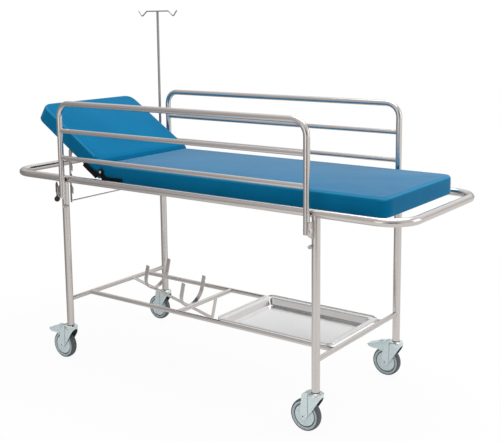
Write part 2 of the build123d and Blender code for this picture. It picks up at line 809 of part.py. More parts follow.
# Each castor trails towards the head end: a pressed fork, an axle, a wheel centre and a tyre.
for side, sy in sides.items():
    for end, sx in ends.items():
        corner = f"{side}_{end}"
        castor_x = sx * leg_x
        castor_y = sy * loop_y
        wheel_x = castor_x - castor_trail
        with BuildPart() as fork:
            with BuildSketch(facing(castor_x, castor_y, crown_bottom, (0, 0, 1))):
                Circle(crown_radius)
            extrude(amount=crown_height)
            fillet(fork.faces().sort_by(Axis.Z)[-1].edges(), crown_edge)
            for cheek in (-1, 1):
                with BuildSketch(side_view(castor_x, castor_y + cheek * (fork_outside - fork_plate / 2), 0)):
                    Polygon(
                        (fork_front, crown_bottom + fork_shoulder),
                        (-fork_hump_back, crown_bottom + fork_hump),
                        (-fork_back, crown_bottom + fork_heel),
                        (-fork_back, crown_bottom),
                        (-castor_trail - fork_end, wheel_r),
                        (-castor_trail + fork_end, wheel_r),
                        (fork_front, crown_bottom),
                        align=None,
                    )
                    with Locations((-castor_trail, wheel_r)):
                        Circle(fork_end)
                        Circle(axle_radius + weld_gap, mode=Mode.SUBTRACT)
                    if corner in braked:
                        with Locations((-pedal_pivot_back, pedal_pivot_height)):
                            Circle(pedal_pin_radius + run_gap, mode=Mode.SUBTRACT)
                extrude(amount=fork_plate / 2, both=True)
            with BuildSketch(facing(castor_x, castor_y, crown_bottom, (0, 0, 1))):
                Circle(crown_bore)
            extrude(amount=crown_height - crown_plate, mode=Mode.SUBTRACT)
            with BuildSketch(facing(castor_x, castor_y, crown_bottom, (0, 0, 1))):
                Circle(stem_radius + run_gap)
            extrude(amount=crown_height, mode=Mode.SUBTRACT)
        finish(fork, f"castor_{corner}_fork")

        with BuildPart() as axle:
            with BuildSketch(side_view(wheel_x, castor_y, wheel_r)):
                Circle(axle_radius)
            extrude(amount=fork_outside, both=True)
            for cheek in (-1, 1):
                with BuildSketch(facing(wheel_x, castor_y + cheek * fork_outside, wheel_r, (0, cheek, 0))):
                    RegularPolygon(axle_head_radius, 6)
                extrude(amount=axle_head_height)
        finish(axle, f"castor_{corner}_axle")

        wheel_spin = Axis((wheel_x, castor_y, wheel_r), (0, 1, 0))
        wheel_section = facing(wheel_x, castor_y, wheel_r, (0, 0, 1))
        with BuildPart() as wheel:
            with BuildSketch(wheel_section):
                half_section = (
                    (axle_radius + run_gap, fork_inside - hub_play),
                    (hub_radius, fork_inside - hub_play),
                    (hub_radius, disc_width / 2),
                    (disc_radius, disc_width / 2),
                    (disc_radius, groove_width / 2),
                    (rim_inside, groove_width / 2),
                    (rim_inside, rim_width / 2),
                    (rim_radius, rim_width / 2),
                )
                Polygon(*half_section, *((r, -h) for r, h in reversed(half_section)), align=None)
            revolve(axis=wheel_spin)
        finish(wheel, f"castor_{corner}_wheel")

        with BuildPart() as tyre:
            with BuildSketch(wheel_section) as tyre_section:
                with Locations(((rim_radius + weld_gap + wheel_r) / 2, 0)):
                    Rectangle(wheel_r - rim_radius - weld_gap, tyre_width)
                fillet(tyre_section.vertices().group_by(Axis.X)[-1], tyre_shoulder)
            revolve(axis=wheel_spin)
        finish(tyre, f"castor_{corner}_tyre")

        if corner in braked:
            with BuildPart() as pedal:
                with BuildSketch(side_view(castor_x, castor_y, 0)):
                    with Locations((-pedal_pivot_back, pedal_pivot_height)):
                        Circle(pedal_boss)
                    Polygon(
                        (-pedal_pivot_back, pedal_pivot_height + pedal_boss),
                        *((-back, z) for back, z in pedal_upper_edge[:1] + pedal_lower_edge[-1:]),
                        (-pedal_pivot_back, pedal_pivot_height - pedal_boss),
                        align=None,
                    )
                extrude(amount=fork_inside - seat_gap, both=True)
                with BuildSketch(side_view(castor_x, castor_y, 0)):
                    Polygon(*((-back, z) for back, z in pedal_upper_edge + pedal_lower_edge), align=None)
                extrude(amount=pedal_width / 2, both=True)
                with BuildSketch(side_view(castor_x - pedal_pivot_back, castor_y, pedal_pivot_height)):
                    Circle(pedal_pin_radius)
                extrude(amount=fork_outside, both=True)
            finish(pedal, f"castor_{corner}_pedal")
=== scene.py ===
from itertools import product
from math import cos, hypot, pi, radians, sin, sqrt, tan

import bmesh
import bpy
from mathutils import Matrix, Vector


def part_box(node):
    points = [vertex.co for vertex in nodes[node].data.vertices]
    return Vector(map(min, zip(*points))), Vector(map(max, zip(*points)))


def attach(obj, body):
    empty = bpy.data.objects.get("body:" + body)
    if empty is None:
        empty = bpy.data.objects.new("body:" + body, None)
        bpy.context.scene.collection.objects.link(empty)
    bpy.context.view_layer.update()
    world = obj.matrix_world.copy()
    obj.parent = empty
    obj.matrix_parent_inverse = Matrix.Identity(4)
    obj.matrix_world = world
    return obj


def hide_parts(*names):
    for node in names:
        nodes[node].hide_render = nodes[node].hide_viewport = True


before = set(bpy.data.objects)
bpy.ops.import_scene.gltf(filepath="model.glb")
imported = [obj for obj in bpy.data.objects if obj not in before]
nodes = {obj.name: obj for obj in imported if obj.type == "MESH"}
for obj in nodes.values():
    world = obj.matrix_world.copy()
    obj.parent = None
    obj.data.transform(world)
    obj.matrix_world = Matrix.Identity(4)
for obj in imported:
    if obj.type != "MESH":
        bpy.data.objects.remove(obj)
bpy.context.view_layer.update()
scene = bpy.context.scene

# Studio
# A white paper floor and backdrop under soft lamps, with the camera off the foot end of the near side. The
# room that the metal mirrors is a warm grey, white overhead and dim behind the camera and at one side. The
# paper that it mirrors carries painted shade: darker behind the trolley and far behind the camera.
camera_place = (2.3355, -3.0259, 1.538)
camera_heading, camera_tilt, camera_roll = 36.112, -8.925, -0.549
camera_shift_y = -0.121
focal_pixels, picture_width, sensor_width = 895.3, 500, 36.0
room_stops = (
    (0.0, (0.7, 0.67, 0.655)), (0.35, (0.64, 0.615, 0.605)), (0.75, (0.7, 0.69, 0.685)),
    (0.95, (0.9, 0.9, 0.9)),
)
dim_heading = 115.0
dim_stops = ((0.55, 1.0), (0.8, 0.86), (0.93, 0.56), (1.0, 0.36))
camera_end_tone, camera_end_from, camera_end_to = 0.3, -0.97, -0.84
backdrop_from, backdrop_to = 0.15, 0.75
backdrop_stops = ((0.0, 0.5), (0.22, 0.6), (0.36, 0.95), (0.6, 0.95))
white = (1.0, 1.0, 1.0, 1.0)
lamp_glint = 0.35
floor_colour = (0.94, 0.935, 0.93, 1.0)
floor_half = 20.0
shadow_reach, shadow_end = 1.1, 2.4
paper_near, paper_far = 0.94, 1.0
paper_in_metal = (0.8, 0.785, 0.77, 1.0)
paper_behind = (0.3, 0.295, 0.29, 1.0)
paper_heading, paper_from, paper_to = 75.0, -0.5, 1.7
dark_end, dark_from, dark_to = 7.0, 2.5, 4.2
paper_dark = (0.2, 0.195, 0.19, 1.0)


def add_object(name, data):
    """Adds an object to the scene."""
    made = bpy.data.objects.new(name, data)
    scene.collection.objects.link(made)
    return made


def settle(thing, **values):
    """Gives a thing its settings."""
    for key, value in values.items():
        setattr(thing, key, value)
    return thing


def feed(node, inputs):
    """Sets inputs of a node, or links them from a socket or a node's first output."""
    for key, value in inputs.items():
        if isinstance(value, bpy.types.Node):
            value = value.outputs[0]
        if isinstance(value, bpy.types.NodeSocket):
            node.id_data.links.new(value, node.inputs[key])
        else:
            node.inputs[key].default_value = value
    return node


def put(tree, kind, inputs=None, **settings):
    """Adds a node with its settings and inputs. A kind without the word Node is of the tree's own sort."""
    own_sort = tree.bl_idname.removesuffix("Tree")
    node = tree.nodes.new(kind if "Node" in kind else own_sort + kind)
    return feed(settle(node, **settings), inputs or {})


def ramp(tree, factor, *stops):
    """Adds a colour ramp. Each stop is a position and a colour."""
    node = put(tree, "ValToRGB", {"Fac": factor})
    elements = node.color_ramp.elements
    while len(elements) < len(stops):
        elements.new(1.0)
    for element, (position, colour) in zip(elements, stops):
        element.position = position
        element.color = (*colour, 1.0)
    return node


def mix(tree, factor, first, second, blend="MIX"):
    """Adds a mix of two colours."""
    sockets = {0: factor, 6: first, 7: second}
    return put(tree, "Mix", sockets, data_type="RGBA", blend_type=blend).outputs[2]


def soft_step(tree, value, start, end, low=0.0, high=1.0):
    """Adds a smooth change from low to high while a value goes from start to end."""
    limits = {"Value": value, "From Min": start, "From Max": end, "To Min": low, "To Max": high}
    return put(tree, "MapRange", limits, interpolation_type="SMOOTHSTEP")


def towards(tree, way, heading):
    """Adds how far a direction or a place lies towards a heading."""
    turn = radians(heading)
    sockets = {0: way, 1: (-sin(turn), cos(turn), 0.0)}
    return put(tree, "VectorMath", sockets, operation="DOT_PRODUCT").outputs["Value"]


camera = add_object("camera", bpy.data.cameras.new("camera"))
lens = focal_pixels / picture_width * sensor_width
settle(camera.data, sensor_width=sensor_width, lens=lens, shift_y=camera_shift_y)
camera.matrix_world = (
    Matrix.Translation(camera_place)
    @ Matrix.Rotation(radians(camera_heading), 4, "Z")
    @ Matrix.Rotation(radians(90 + camera_tilt), 4, "X")
    @ Matrix.Rotation(radians(camera_roll), 4, "Z")
)
scene.camera = camera
scene.view_settings.view_transform = "Standard"

world = bpy.data.worlds.new("studio")
world.use_nodes = True
scene.world = world
sky = world.node_tree
sky.nodes.clear()
ray = put(sky, "LightPath").outputs
way = put(sky, "TexCoord").outputs["Generated"]
up = put(sky, "SeparateXYZ", {0: way}).outputs["Z"]
ahead = towards(sky, way, camera_heading)
aside = towards(sky, way, camera_heading + 180.0 - dim_heading)
across = put(sky, "MapRange", {"Value": aside, "From Min": -1.0, "From Max": 1.0})
sides = ramp(sky, across, *((place, (tone,) * 3) for place, tone in dim_stops))
room = ramp(sky, up, *room_stops)
paper = ramp(sky, up, *((place, (tone,) * 3) for place, tone in backdrop_stops))
backdrop = mix(sky, soft_step(sky, ahead, backdrop_from, backdrop_to), room, paper)
shaded = mix(sky, 1.0, backdrop, sides, "MULTIPLY")
camera_end = soft_step(sky, ahead, camera_end_from, camera_end_to, camera_end_tone)
mirrored = mix(sky, 1.0, shaded, camera_end, "MULTIPLY")
seen = put(sky, "Math", {0: ray["Is Camera Ray"], 1: ray["Is Transmission Ray"]}, operation="MAXIMUM")
background = put(sky, "Background", {"Color": mix(sky, seen, mirrored, white)})
put(sky, "OutputWorld", {"Surface": background})

for name, place, aim, size, power in (
    ("overhead", (0.5, 0.5, 3.6), (0.0, 0.0, 0.8), 2.6, 54),
    ("foot_side", (3.4, 1.5, 1.7), (0.2, 0.0, 0.5), 1.8, 12),
    ("near_side", (0.2, -3.8, 1.1), (0.0, 0.0, 0.2), 1.6, 5),
):
    lamp = add_object(name, bpy.data.lights.new(name, "AREA"))
    settle(lamp.data, size=size, energy=power, specular_factor=lamp_glint)
    lamp.location = place
    lamp.rotation_euler = (Vector(aim) - Vector(place)).to_track_quat("-Z", "Y").to_euler()

floor_mesh = bpy.data.meshes.new("floor")
floor_corners = [(x * floor_half, y * floor_half, 0) for x, y in ((-1, -1), (1, -1), (1, 1), (-1, 1))]
floor_mesh.from_pydata(floor_corners, [], [(0, 1, 2, 3)])
add_object("floor", floor_mesh)
floor_paper = bpy.data.materials.new("floor_paper")
floor_paper.use_nodes = True
floor_mesh.materials.append(floor_paper)
tree = floor_paper.node_tree
tree.nodes.clear()
ray = put(tree, "LightPath").outputs
spot = put(tree, "TexCoord").outputs["Object"]
far = put(tree, "VectorMath", {0: spot}, operation="LENGTH").outputs["Value"]
fade = soft_step(tree, far, shadow_reach, shadow_end, paper_near, paper_far)
seen = put(tree, "Math", {0: fade, 1: ray["Is Camera Ray"]}, operation="MULTIPLY")
# Painted shade on the paper as the metal mirrors it: darker behind the trolley and far behind the camera.
behind = soft_step(tree, towards(tree, spot, paper_heading), paper_from, paper_to)
mirrored = mix(tree, behind, paper_in_metal, paper_behind)
turn = radians(camera_heading)
dark_place = (dark_end * sin(turn), -dark_end * cos(turn), 0.0)
reach = put(tree, "VectorMath", {0: spot, 1: dark_place}, operation="DISTANCE").outputs["Value"]
mirrored = mix(tree, soft_step(tree, reach, dark_from, dark_to, 1.0, 0.0), mirrored, paper_dark)
shine = put(tree, "Emission", {"Color": mix(tree, ray["Is Camera Ray"], mirrored, white)})
share = put(tree, "Math", {0: seen, 1: ray["Is Glossy Ray"]}, operation="MAXIMUM")
plain = put(tree, "BsdfDiffuse", {"Color": floor_colour})
both = put(tree, "MixShader", {0: share, 1: plain, 2: shine})
put(tree, "OutputMaterial", {"Surface": both})


# Tube frame
# Two bent tubes make the top frame, on four tube legs with cross bars and long bars between them. All are
# stainless tube, satin brushed along its length before it is cut and welded.
steel_light, steel_dark = (0.77, 0.735, 0.715), (0.63, 0.6, 0.585)
fine_mark, long_mark = 700.0, 5.0
satin = 0.18


def new_surface(name):
    """Starts a material, and gives it with its tree, its shader and object coordinates."""
    made = bpy.data.materials.new(name)
    made.use_nodes = True
    tree = made.node_tree
    return made, tree, tree.nodes["Principled BSDF"], put(tree, "TexCoord").outputs["Object"]


def noise(place, scale, detail, **more):
    """Adds a noise pattern."""
    inputs = {"Vector": place, "Scale": scale, "Detail": detail, **more}
    return put(place.id_data, "TexNoise", inputs)


def coat(shader, colour, cloudy, low, high, height, strength, depth):
    """Gives a shader its colour, its roughness between two limits, and its relief."""
    tree = shader.id_data
    gloss = put(tree, "MapRange", {"Value": cloudy, "To Min": low, "To Max": high})
    bump = put(tree, "Bump", {"Height": height, "Strength": strength, "Distance": depth})
    feed(shader, {"Base Color": colour, "Roughness": gloss, "Normal": bump})
    return bump


def satin_metal(name, light, dark, grain, roughness, metal=1.0):
    """Satin metal: brush marks stretched along the axis where grain is smallest, and faint smears."""
    made, tree, shader, place = new_surface(name)
    stretch_and_edge_highlight = put(tree, "Mapping", {"Vector": place, "Scale": grain})
    marks = noise(stretch_and_edge_highlight, 1.0, 3.0, Roughness=0.65)
    smears = noise(place, 11.0, 2.0)
    both = put(tree, "Math", {0: marks, 1: smears}, operation="ADD")
    half = put(tree, "Math", {0: both, 1: 0.5}, operation="MULTIPLY")
    tint = ramp(tree, marks, (0.3, dark), (0.62, light))
    coat(shader, tint, half, roughness - 0.05, roughness + 0.09, marks, 0.1, 0.0002)
    feed(shader, {"Metallic": metal})
    return made


def dress(material, *names):
    """Gives the frame's own pieces a material."""
    for name in names:
        nodes[name].material_slots[0].material = material


tubes = []
for axis in "xyz":
    grain = [long_mark if name == axis else fine_mark for name in "xyz"]
    tubes.append(satin_metal(f"stainless_along_{axis}", steel_light, steel_dark, grain, satin))
tube_along_x, tube_along_y, tube_along_z = tubes
corners = [f"{side}_{end}" for side in ("front", "rear") for end in ("head", "foot")]
dress(tube_along_x, "top_frame_head", "top_frame_foot", "low_long_bars")
dress(tube_along_y, "low_cross_bars", "bed_cross_bars")
dress(tube_along_z, *(f"leg_{corner}" for corner in corners))


# Weld beads
# Each joint of two round tubes is closed by a bead of small overlapping puddles of filler, left as welded
# and brushed over. The bead follows the saddle line where the tubes meet.
bead_pitch, bead_radius, bead_flatten = 0.0019, 0.0017, 0.65
saddle_steps = 72
middle_bar_x = -0.13


def new_tree(name, *sizes):
    """Starts a geometry node tree, and gives it with its inputs: a mesh, sizes and a material."""
    tree = bpy.data.node_groups.new(name, "GeometryNodeTree")
    numbers = [(label, "Float", "INPUT") for label in sizes]
    ends = [("Finish", "Material", "INPUT"), ("Mesh", "Geometry", "OUTPUT")]
    for label, kind, way in [("Mesh", "Geometry", "INPUT")] + numbers + ends:
        tree.interface.new_socket(label, in_out=way, socket_type=f"NodeSocket{kind}")
    return tree, put(tree, "NodeGroupInput").outputs


def points_along(tree, given):
    """Adds points a pitch apart on the lines of the mesh, each turned along its line."""
    line = put(tree, "MeshToCurve", {0: given["Mesh"]})
    points = put(tree, "CurveToPoints", {"Curve": line, "Length": given["Pitch"]}, mode="LENGTH")
    return {key: points.outputs[key] for key in ("Points", "Rotation")}


def end_tree(tree, given, placing):
    """Ends a tree: the instances on its points become one smooth mesh in its material."""
    placed = put(tree, "InstanceOnPoints", placing)
    real = put(tree, "RealizeInstances", {0: placed})
    smooth = put(tree, "SetShadeSmooth", {"Geometry": real})
    finish = put(tree, "SetMaterial", {"Geometry": smooth, "Material": given["Finish"]})
    put(tree, "NodeGroupOutput", {0: finish})


def grown(name, seats, tree, body, slot, **sizes):
    """Runs a tree on a mesh of seats and keeps the result as a piece."""
    seat = add_object(f"{name}_seats", seats)
    maker = seat.modifiers.new("maker", "NODES")
    maker.node_group = tree
    for item in tree.interface.items_tree:
        if item.name in sizes:
            maker[item.identifier] = sizes[item.name]
    mesh = bpy.data.meshes.new_from_object(seat.evaluated_get(bpy.context.evaluated_depsgraph_get()))
    bpy.data.objects.remove(seat)
    piece = add_object(name, mesh)
    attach(piece, body)


def closed_lines(name, lines):
    """A mesh of closed lines, each a list of points."""
    points, edges = [], []
    for line in lines:
        first, count = len(points), len(line)
        points += line
        edges += [(first + i, first + (i + 1) % count) for i in range(count)]
    mesh = bpy.data.meshes.new(name)
    mesh.from_pydata(points, edges, [])
    return mesh


def saddle(centre, along, big_axis, radius, big_radius):
    """The closed line where a tube meets another that is no thinner."""
    up = along.cross(big_axis)
    points = []
    for step in range(saddle_steps):
        angle = 2 * pi * (step + 0.5) / saddle_steps
        rise = radius * sin(angle)
        reach = sqrt(big_radius**2 - rise**2)
        points.append(Vector(centre) + big_axis * radius * cos(angle) + up * rise + along * reach)
    return points


def weld(name, body, lines):
    """A body's weld beads, on the saddle lines of its joints."""
    sizes = {"Pitch": bead_pitch, "Bead radius": bead_radius, "Flatten": bead_flatten, "Finish": weld_steel}
    grown(name, closed_lines(name, lines), bead_tree, body, "stainless", **sizes)


def middle(name):
    """The middle of a piece's box."""
    low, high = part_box(name)
    return (low + high) / 2


weld_steel = satin_metal("weld_steel", (0.7, 0.66, 0.62), (0.5, 0.47, 0.45), (240.0,) * 3, 0.34)
bead_tree, given = new_tree("weld_bead", "Pitch", "Bead radius", "Flatten")
puddle = put(bead_tree, "MeshUVSphere", {"Segments": 8, "Rings": 5, "Radius": given["Bead radius"]})
squashed = put(bead_tree, "ShaderNodeCombineXYZ", {0: 1.0, 1: given["Flatten"], 2: 1.0})
end_tree(bead_tree, given, {**points_along(bead_tree, given), "Instance": puddle, "Scale": squashed})

leg_places = [middle(f"leg_{corner}") for corner in corners]
frame_height, low_height = middle("top_frame_foot").z, middle("low_cross_bars").z
tube_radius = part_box("top_frame_foot")[1].z - frame_height
low_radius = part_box("low_cross_bars")[1].z - low_height
long_bar_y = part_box("low_long_bars")[1].y - low_radius
across_frame, along_frame, upright = Vector((0, 1, 0)), Vector((1, 0, 0)), Vector((0, 0, 1))
frame_joints = []
for leg in leg_places:
    side, end = (1 if leg.y > 0 else -1), (1 if leg.x > 0 else -1)
    long_end = (leg.x, side * long_bar_y, low_height)
    frame_joints += [
        saddle((leg.x, leg.y, frame_height), -upright, along_frame, tube_radius, tube_radius),
        saddle((leg.x, leg.y, low_height), across_frame * -side, upright, low_radius, tube_radius),
        saddle(long_end, along_frame * -end, across_frame, low_radius, low_radius),
    ]
for side in (-1, 1):
    bar_end = (middle_bar_x, side * long_bar_y, low_height)
    frame_joints.append(saddle(bar_end, across_frame * -side, along_frame, low_radius, low_radius))
weld("frame_welds", "frame", frame_joints)


# Bed cushions
# Blue coated cloth is pulled over foam on a plywood board and stapled underneath, so each cushion is one
# soft block with round edges. The backrest's lower end is cut back above the hinge to leave it room.
hinge = Vector((-0.46, 0, 0.887))
backrest_angle, backrest_length = 33.0, 0.462
fold_gap, fold_bevel, bevel_fade = 0.0006, 51.0, 0.16
bed_foot_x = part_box("main_pad")[1].x
bed_bottom, bed_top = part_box("main_board")[0].z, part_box("main_pad")[1].z
board_cover, cover_rise = 0.001, 0.0055
cushion_width = 0.587
foot_over, head_over = 0.004, 0.003
cushion_corner, cushion_edge, cushion_hem, hinge_edge = 0.047, 0.013, 0.006, 0.003
cell = 0.017
foam_pressure, cloth_quality, swell_frames = 4.0, 4, 18
swell_side, swell_top = 0.007, 0.0045
clear_of_hinge, hinge_share = 0.14, 0.35
held_hem, held_fold, held_rise = 0.016, 0.012, 0.01
vinyl_light, vinyl_dark = (0.0022, 0.176, 0.364), (0.0014, 0.152, 0.324)
# Painted highlight: a paler blue laid on the cushions' upper rounded edges.
vinyl_edge_highlight = (0.04, 0.285, 0.5, 1.0)
edge_from, edge_to, upper_edge, fold_plain = 0.97, 0.76, 0.2, 0.07


def spaced(length, first_round, last_round):
    """Places along a cushion: close together at its rounded ends, a cell apart between."""
    steps = (0.0, 0.3, 0.6, 1.0)
    start = [first_round * s for s in steps]
    end = [length - last_round * s for s in reversed(steps)]
    count = max(1, round((end[0] - start[-1]) / cell))
    between = [start[-1] + (end[0] - start[-1]) * i / count for i in range(1, count)]
    return start + between + end


def rounded(inset, depth, radius):
    """Bends a square corner into an arc: inset and depth are measured from its two faces."""
    if inset >= radius or depth >= radius:
        return inset, depth
    across, up = radius - inset, radius - depth
    shrink = max(across, up) / hypot(across, up)
    return radius - across * shrink, radius - up * shrink


def cushion_point(u, v, w, length, height, bevel_from):
    """Moves a point of a square block to its place on the rounded cushion: u from the hinge, w up."""
    side = 1 if v > 0 else -1
    from_end, from_side = length - u, cushion_width / 2 - abs(v)
    inset = min(from_end, from_side)
    out = Vector((1, 0)) if from_end < from_side else Vector((0, side))
    if max(from_end, from_side) < cushion_corner:
        out = Vector((cushion_corner - from_end, side * (cushion_corner - from_side))).normalized()
        u = length - cushion_corner + out.x * (cushion_corner - inset)
        v = side * (cushion_width / 2 - cushion_corner) + out.y * (cushion_corner - inset)
    if w > height / 2:
        moved, top = rounded(inset, height - w, cushion_edge)
        w = height - top
    else:
        moved, w = rounded(inset, w, cushion_hem)
    u, v = u + out.x * (inset - moved), v + out.y * (inset - moved)
    u, top = rounded(u, height - w, hinge_edge)
    w = height - top
    if bevel_from is not None and w > bevel_from:
        u += (w - bevel_from) * tan(radians(fold_bevel)) * max(0.0, 1 - u / bevel_fade)
    return u, v, w


def smooth_mesh(name, skin):
    """A mesh from a skin, with its faces outwards and shaded smooth."""
    bmesh.ops.recalc_face_normals(skin, faces=skin.faces)
    for face in skin.faces:
        face.smooth = True
    mesh = bpy.data.meshes.new(name)
    skin.to_mesh(mesh)
    skin.free()
    return mesh


def cushion_mesh(name, length, height, bevel_from):
    """A cushion's cover as a closed skin of square cells, before the foam swells it."""
    along = spaced(length, hinge_edge, cushion_edge)
    across = [v - cushion_width / 2 for v in spaced(cushion_width, cushion_edge, cushion_edge)]
    up = spaced(height, cushion_hem, cushion_edge)
    last = (len(along) - 1, len(across) - 1, len(up) - 1)
    skin = bmesh.new()
    points = {}

    def corner(index):
        if index not in points:
            u, v, w = along[index[0]], across[index[1]], up[index[2]]
            points[index] = skin.verts.new(cushion_point(u, v, w, length, height, bevel_from))
        return points[index]

    for axis in range(3):
        first, second = [n for n in range(3) if n != axis]
        for level, a, b in product((0, last[axis]), range(last[first]), range(last[second])):
            quad = []
            for step_a, step_b in ((0, 0), (1, 0), (1, 1), (0, 1)):
                index = [level] * 3
                index[first], index[second] = a + step_a, b + step_b
                quad.append(corner(tuple(index)))
            skin.faces.new(quad)
    return smooth_mesh(name, skin)


def swell_cover(pad, hinge_level):
    """Lets the foam push the cover out by cloth simulation, and keeps a share of it."""
    mesh = pad.data
    cut = [v.co.copy() for v in mesh.vertices]
    ways = [v.normal.copy() for v in mesh.vertices]
    held = pad.vertex_groups.new(name="held")
    at_fold = [v.x < held_fold and v.z < hinge_level + held_rise for v in cut]
    held.add([i for i, v in enumerate(cut) if v.z < held_hem or at_fold[i]], 1.0, "REPLACE")
    cloth = pad.modifiers.new("cover", "CLOTH")
    settle(cloth.settings, use_pressure=True, uniform_pressure_force=foam_pressure)
    settle(cloth.settings, vertex_group_mass="held", quality=cloth_quality)
    cloth.settings.effector_weights.gravity = 0.0
    settle(cloth.point_cache, frame_start=1, frame_end=swell_frames)
    for number in range(1, swell_frames + 1):
        scene.frame_set(number)
    soft = pad.evaluated_get(bpy.context.evaluated_depsgraph_get())
    swollen = [v.co.copy() for v in soft.data.vertices]
    pad.modifiers.remove(cloth)
    pad.vertex_groups.clear()
    scene.frame_set(1)
    moves = [max(0.0, (end - start).dot(way)) for start, end, way in zip(cut, swollen, ways)]
    furthest = max(moves)
    for vertex, start, way, move in zip(mesh.vertices, cut, ways, moves):
        clear = min(1.0, start.x / clear_of_hinge)
        side = min(move, swell_side * max(hinge_share, clear))
        top = min(move, swell_top) * (1 - clear) + swell_top * move / furthest * clear
        vertex.co = start + way * (side + (top - side) * max(0.0, way.z))


def mark_highlight_edges(mesh):
    """Marks the cover's upper rounded edges, by how their normals lean, where a highlight is painted."""
    amounts = []
    for vertex in mesh.vertices:
        lean = max(abs(n) for n in vertex.normal)
        outside = vertex.normal.z > upper_edge and vertex.co.x > fold_plain
        amounts.append(min(1.0, max(0.0, (edge_from - lean) / (edge_from - edge_to))) if outside else 0.0)
    mesh.attributes.new("stretch_and_edge_highlight", "FLOAT", "POINT").data.foreach_set("value", amounts)


vinyl, tree, shader, place = new_surface("blue_vinyl")
grain = put(tree, "TexVoronoi", {"Vector": place, "Scale": 900.0}, feature="SMOOTH_F1")
cloudy = noise(place, 5.0, 3.0)
dye = ramp(tree, cloudy, (0.3, vinyl_dark), (0.7, vinyl_light))
# Painted highlight: the marked upper edges are coloured paler than the vinyl.
stretch_and_edge_highlight = put(tree, "Attribute", attribute_name="stretch_and_edge_highlight").outputs["Fac"]
colour = mix(tree, stretch_and_edge_highlight, dye, vinyl_edge_highlight)
bump = coat(shader, colour, cloudy, 0.4, 0.52, grain, 0.2, 0.0003)
pulls = put(tree, "Bump", {"Height": noise(place, 8.0, 1.0), "Strength": 0.2, "Distance": 0.006})
feed(bump, {"Normal": pulls})
feed(shader, {"Specular IOR Level": 0.02, "Sheen Weight": 0.62, "Sheen Roughness": 0.26})

cushion_height = bed_top - bed_bottom - board_cover + cover_rise
board_drop = hinge.z - bed_bottom - board_cover
to_bed = Matrix.Translation((hinge.x + fold_gap, 0, bed_bottom + board_cover))
turn = radians(backrest_angle)
back_u = Vector((-cos(turn), 0, sin(turn)))
back_w = Vector((sin(turn), 0, cos(turn)))
back_axes = Matrix(((back_u.x, 0, back_w.x), (0, -1, 0), (back_u.z, 0, back_w.z)))
to_back = Matrix.Translation(hinge + back_u * fold_gap - back_w * board_drop) @ back_axes.to_4x4()
cushions = (
    ("main", bed_foot_x - hinge.x - fold_gap + foot_over, None, to_bed, "frame"),
    ("backrest", backrest_length + head_over, board_drop, to_back, "backrest"),
)
for name, length, bevel_from, place, body in cushions:
    pad = add_object(f"{name}_cushion", cushion_mesh(f"{name}_cushion", length, cushion_height, bevel_from))
    swell_cover(pad, board_drop)
    mark_highlight_edges(pad.data)
    pad.data.transform(place)
    pad.data.materials.append(vinyl)
    settle(pad.modifiers.new("smooth", "SUBSURF"), levels=1, render_levels=1)
    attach(pad, body)
    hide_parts(f"{name}_pad", f"{name}_board")


# Cushion undersides
# A dark stained plywood sheet closes each cushion below. The coated cloth is folded in under it and held
# by a row of wire staples along every side.
ply_inset, ply_low, ply_high, ply_ease = 0.034, -0.0008, 0.0016, 0.0006
staple_inset, staple_level = 0.021, 0.0002
staple_pitch, staple_length, staple_wire = 0.038, 0.011, 0.0011
ply_light, ply_dark = (0.085, 0.066, 0.052), (0.05, 0.038, 0.03)
crisp_angle = 35


def ease_edges(piece, width, angle=40):
    """Rounds over the sharp edges of a plate or pressing."""
    edge = piece.modifiers.new("eased", "BEVEL")
    settle(edge, width=width, segments=2, angle_limit=radians(angle))


def finished(name, skin, material, body, slot, *stands_for):
    """Makes a piece from a skin, and says what carries it and what it stands for."""
    bmesh.ops.remove_doubles(skin, verts=skin.verts, dist=1e-6)
    mesh = smooth_mesh(name, skin)
    mesh.set_sharp_from_angle(angle=radians(crisp_angle))
    mesh.materials.append(material)
    piece = add_object(name, mesh)
    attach(piece, body)
    if stands_for:
        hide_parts(*stands_for)
    return piece


def joined(skin, rows, first):
    """Joins rows of points, each to the next. First is 0 where the rows are closed, and 1 where open."""
    for here, there in zip(rows, rows[1:]):
        for i in range(first, len(here)):
            skin.faces.new((here[i - 1], there[i - 1], there[i], here[i]))


def plate_piece(name, cuts, thickness, ease, *finish):
    """A piece of flat plates: each is an outline in a work plane, and its thickness goes up from it."""
    skin = bmesh.new()
    for place, outline in cuts:
        low = [skin.verts.new(place @ Vector((a, b, 0))) for a, b in outline]
        high = [skin.verts.new(place @ Vector((a, b, thickness))) for a, b in outline]
        skin.faces.new(low)
        skin.faces.new(high)
        joined(skin, [low, high], 0)
    piece = finished(name, skin, *finish)
    if ease:
        ease_edges(piece, ease)


def inset_loop(length, inset):
    """A rectangle on a cushion's underside, a given distance in from its cut edge."""
    half = cushion_width / 2 - inset
    return (inset, -half), (length - inset, -half), (length - inset, half), (inset, half)


plywood, tree, shader, place = new_surface("plywood")
stretch_and_edge_highlight = put(tree, "Mapping", {"Vector": place, "Scale": (1.2, 14.0, 14.0)})
rings = noise(stretch_and_edge_highlight, 2.0, 6.0, Distortion=1.2)
pores = noise(stretch_and_edge_highlight, 60.0, 2.0)
stain = ramp(tree, rings, (0.32, ply_dark), (0.66, ply_light))
coat(shader, stain, rings, 0.52, 0.72, pores, 0.2, 0.0004)

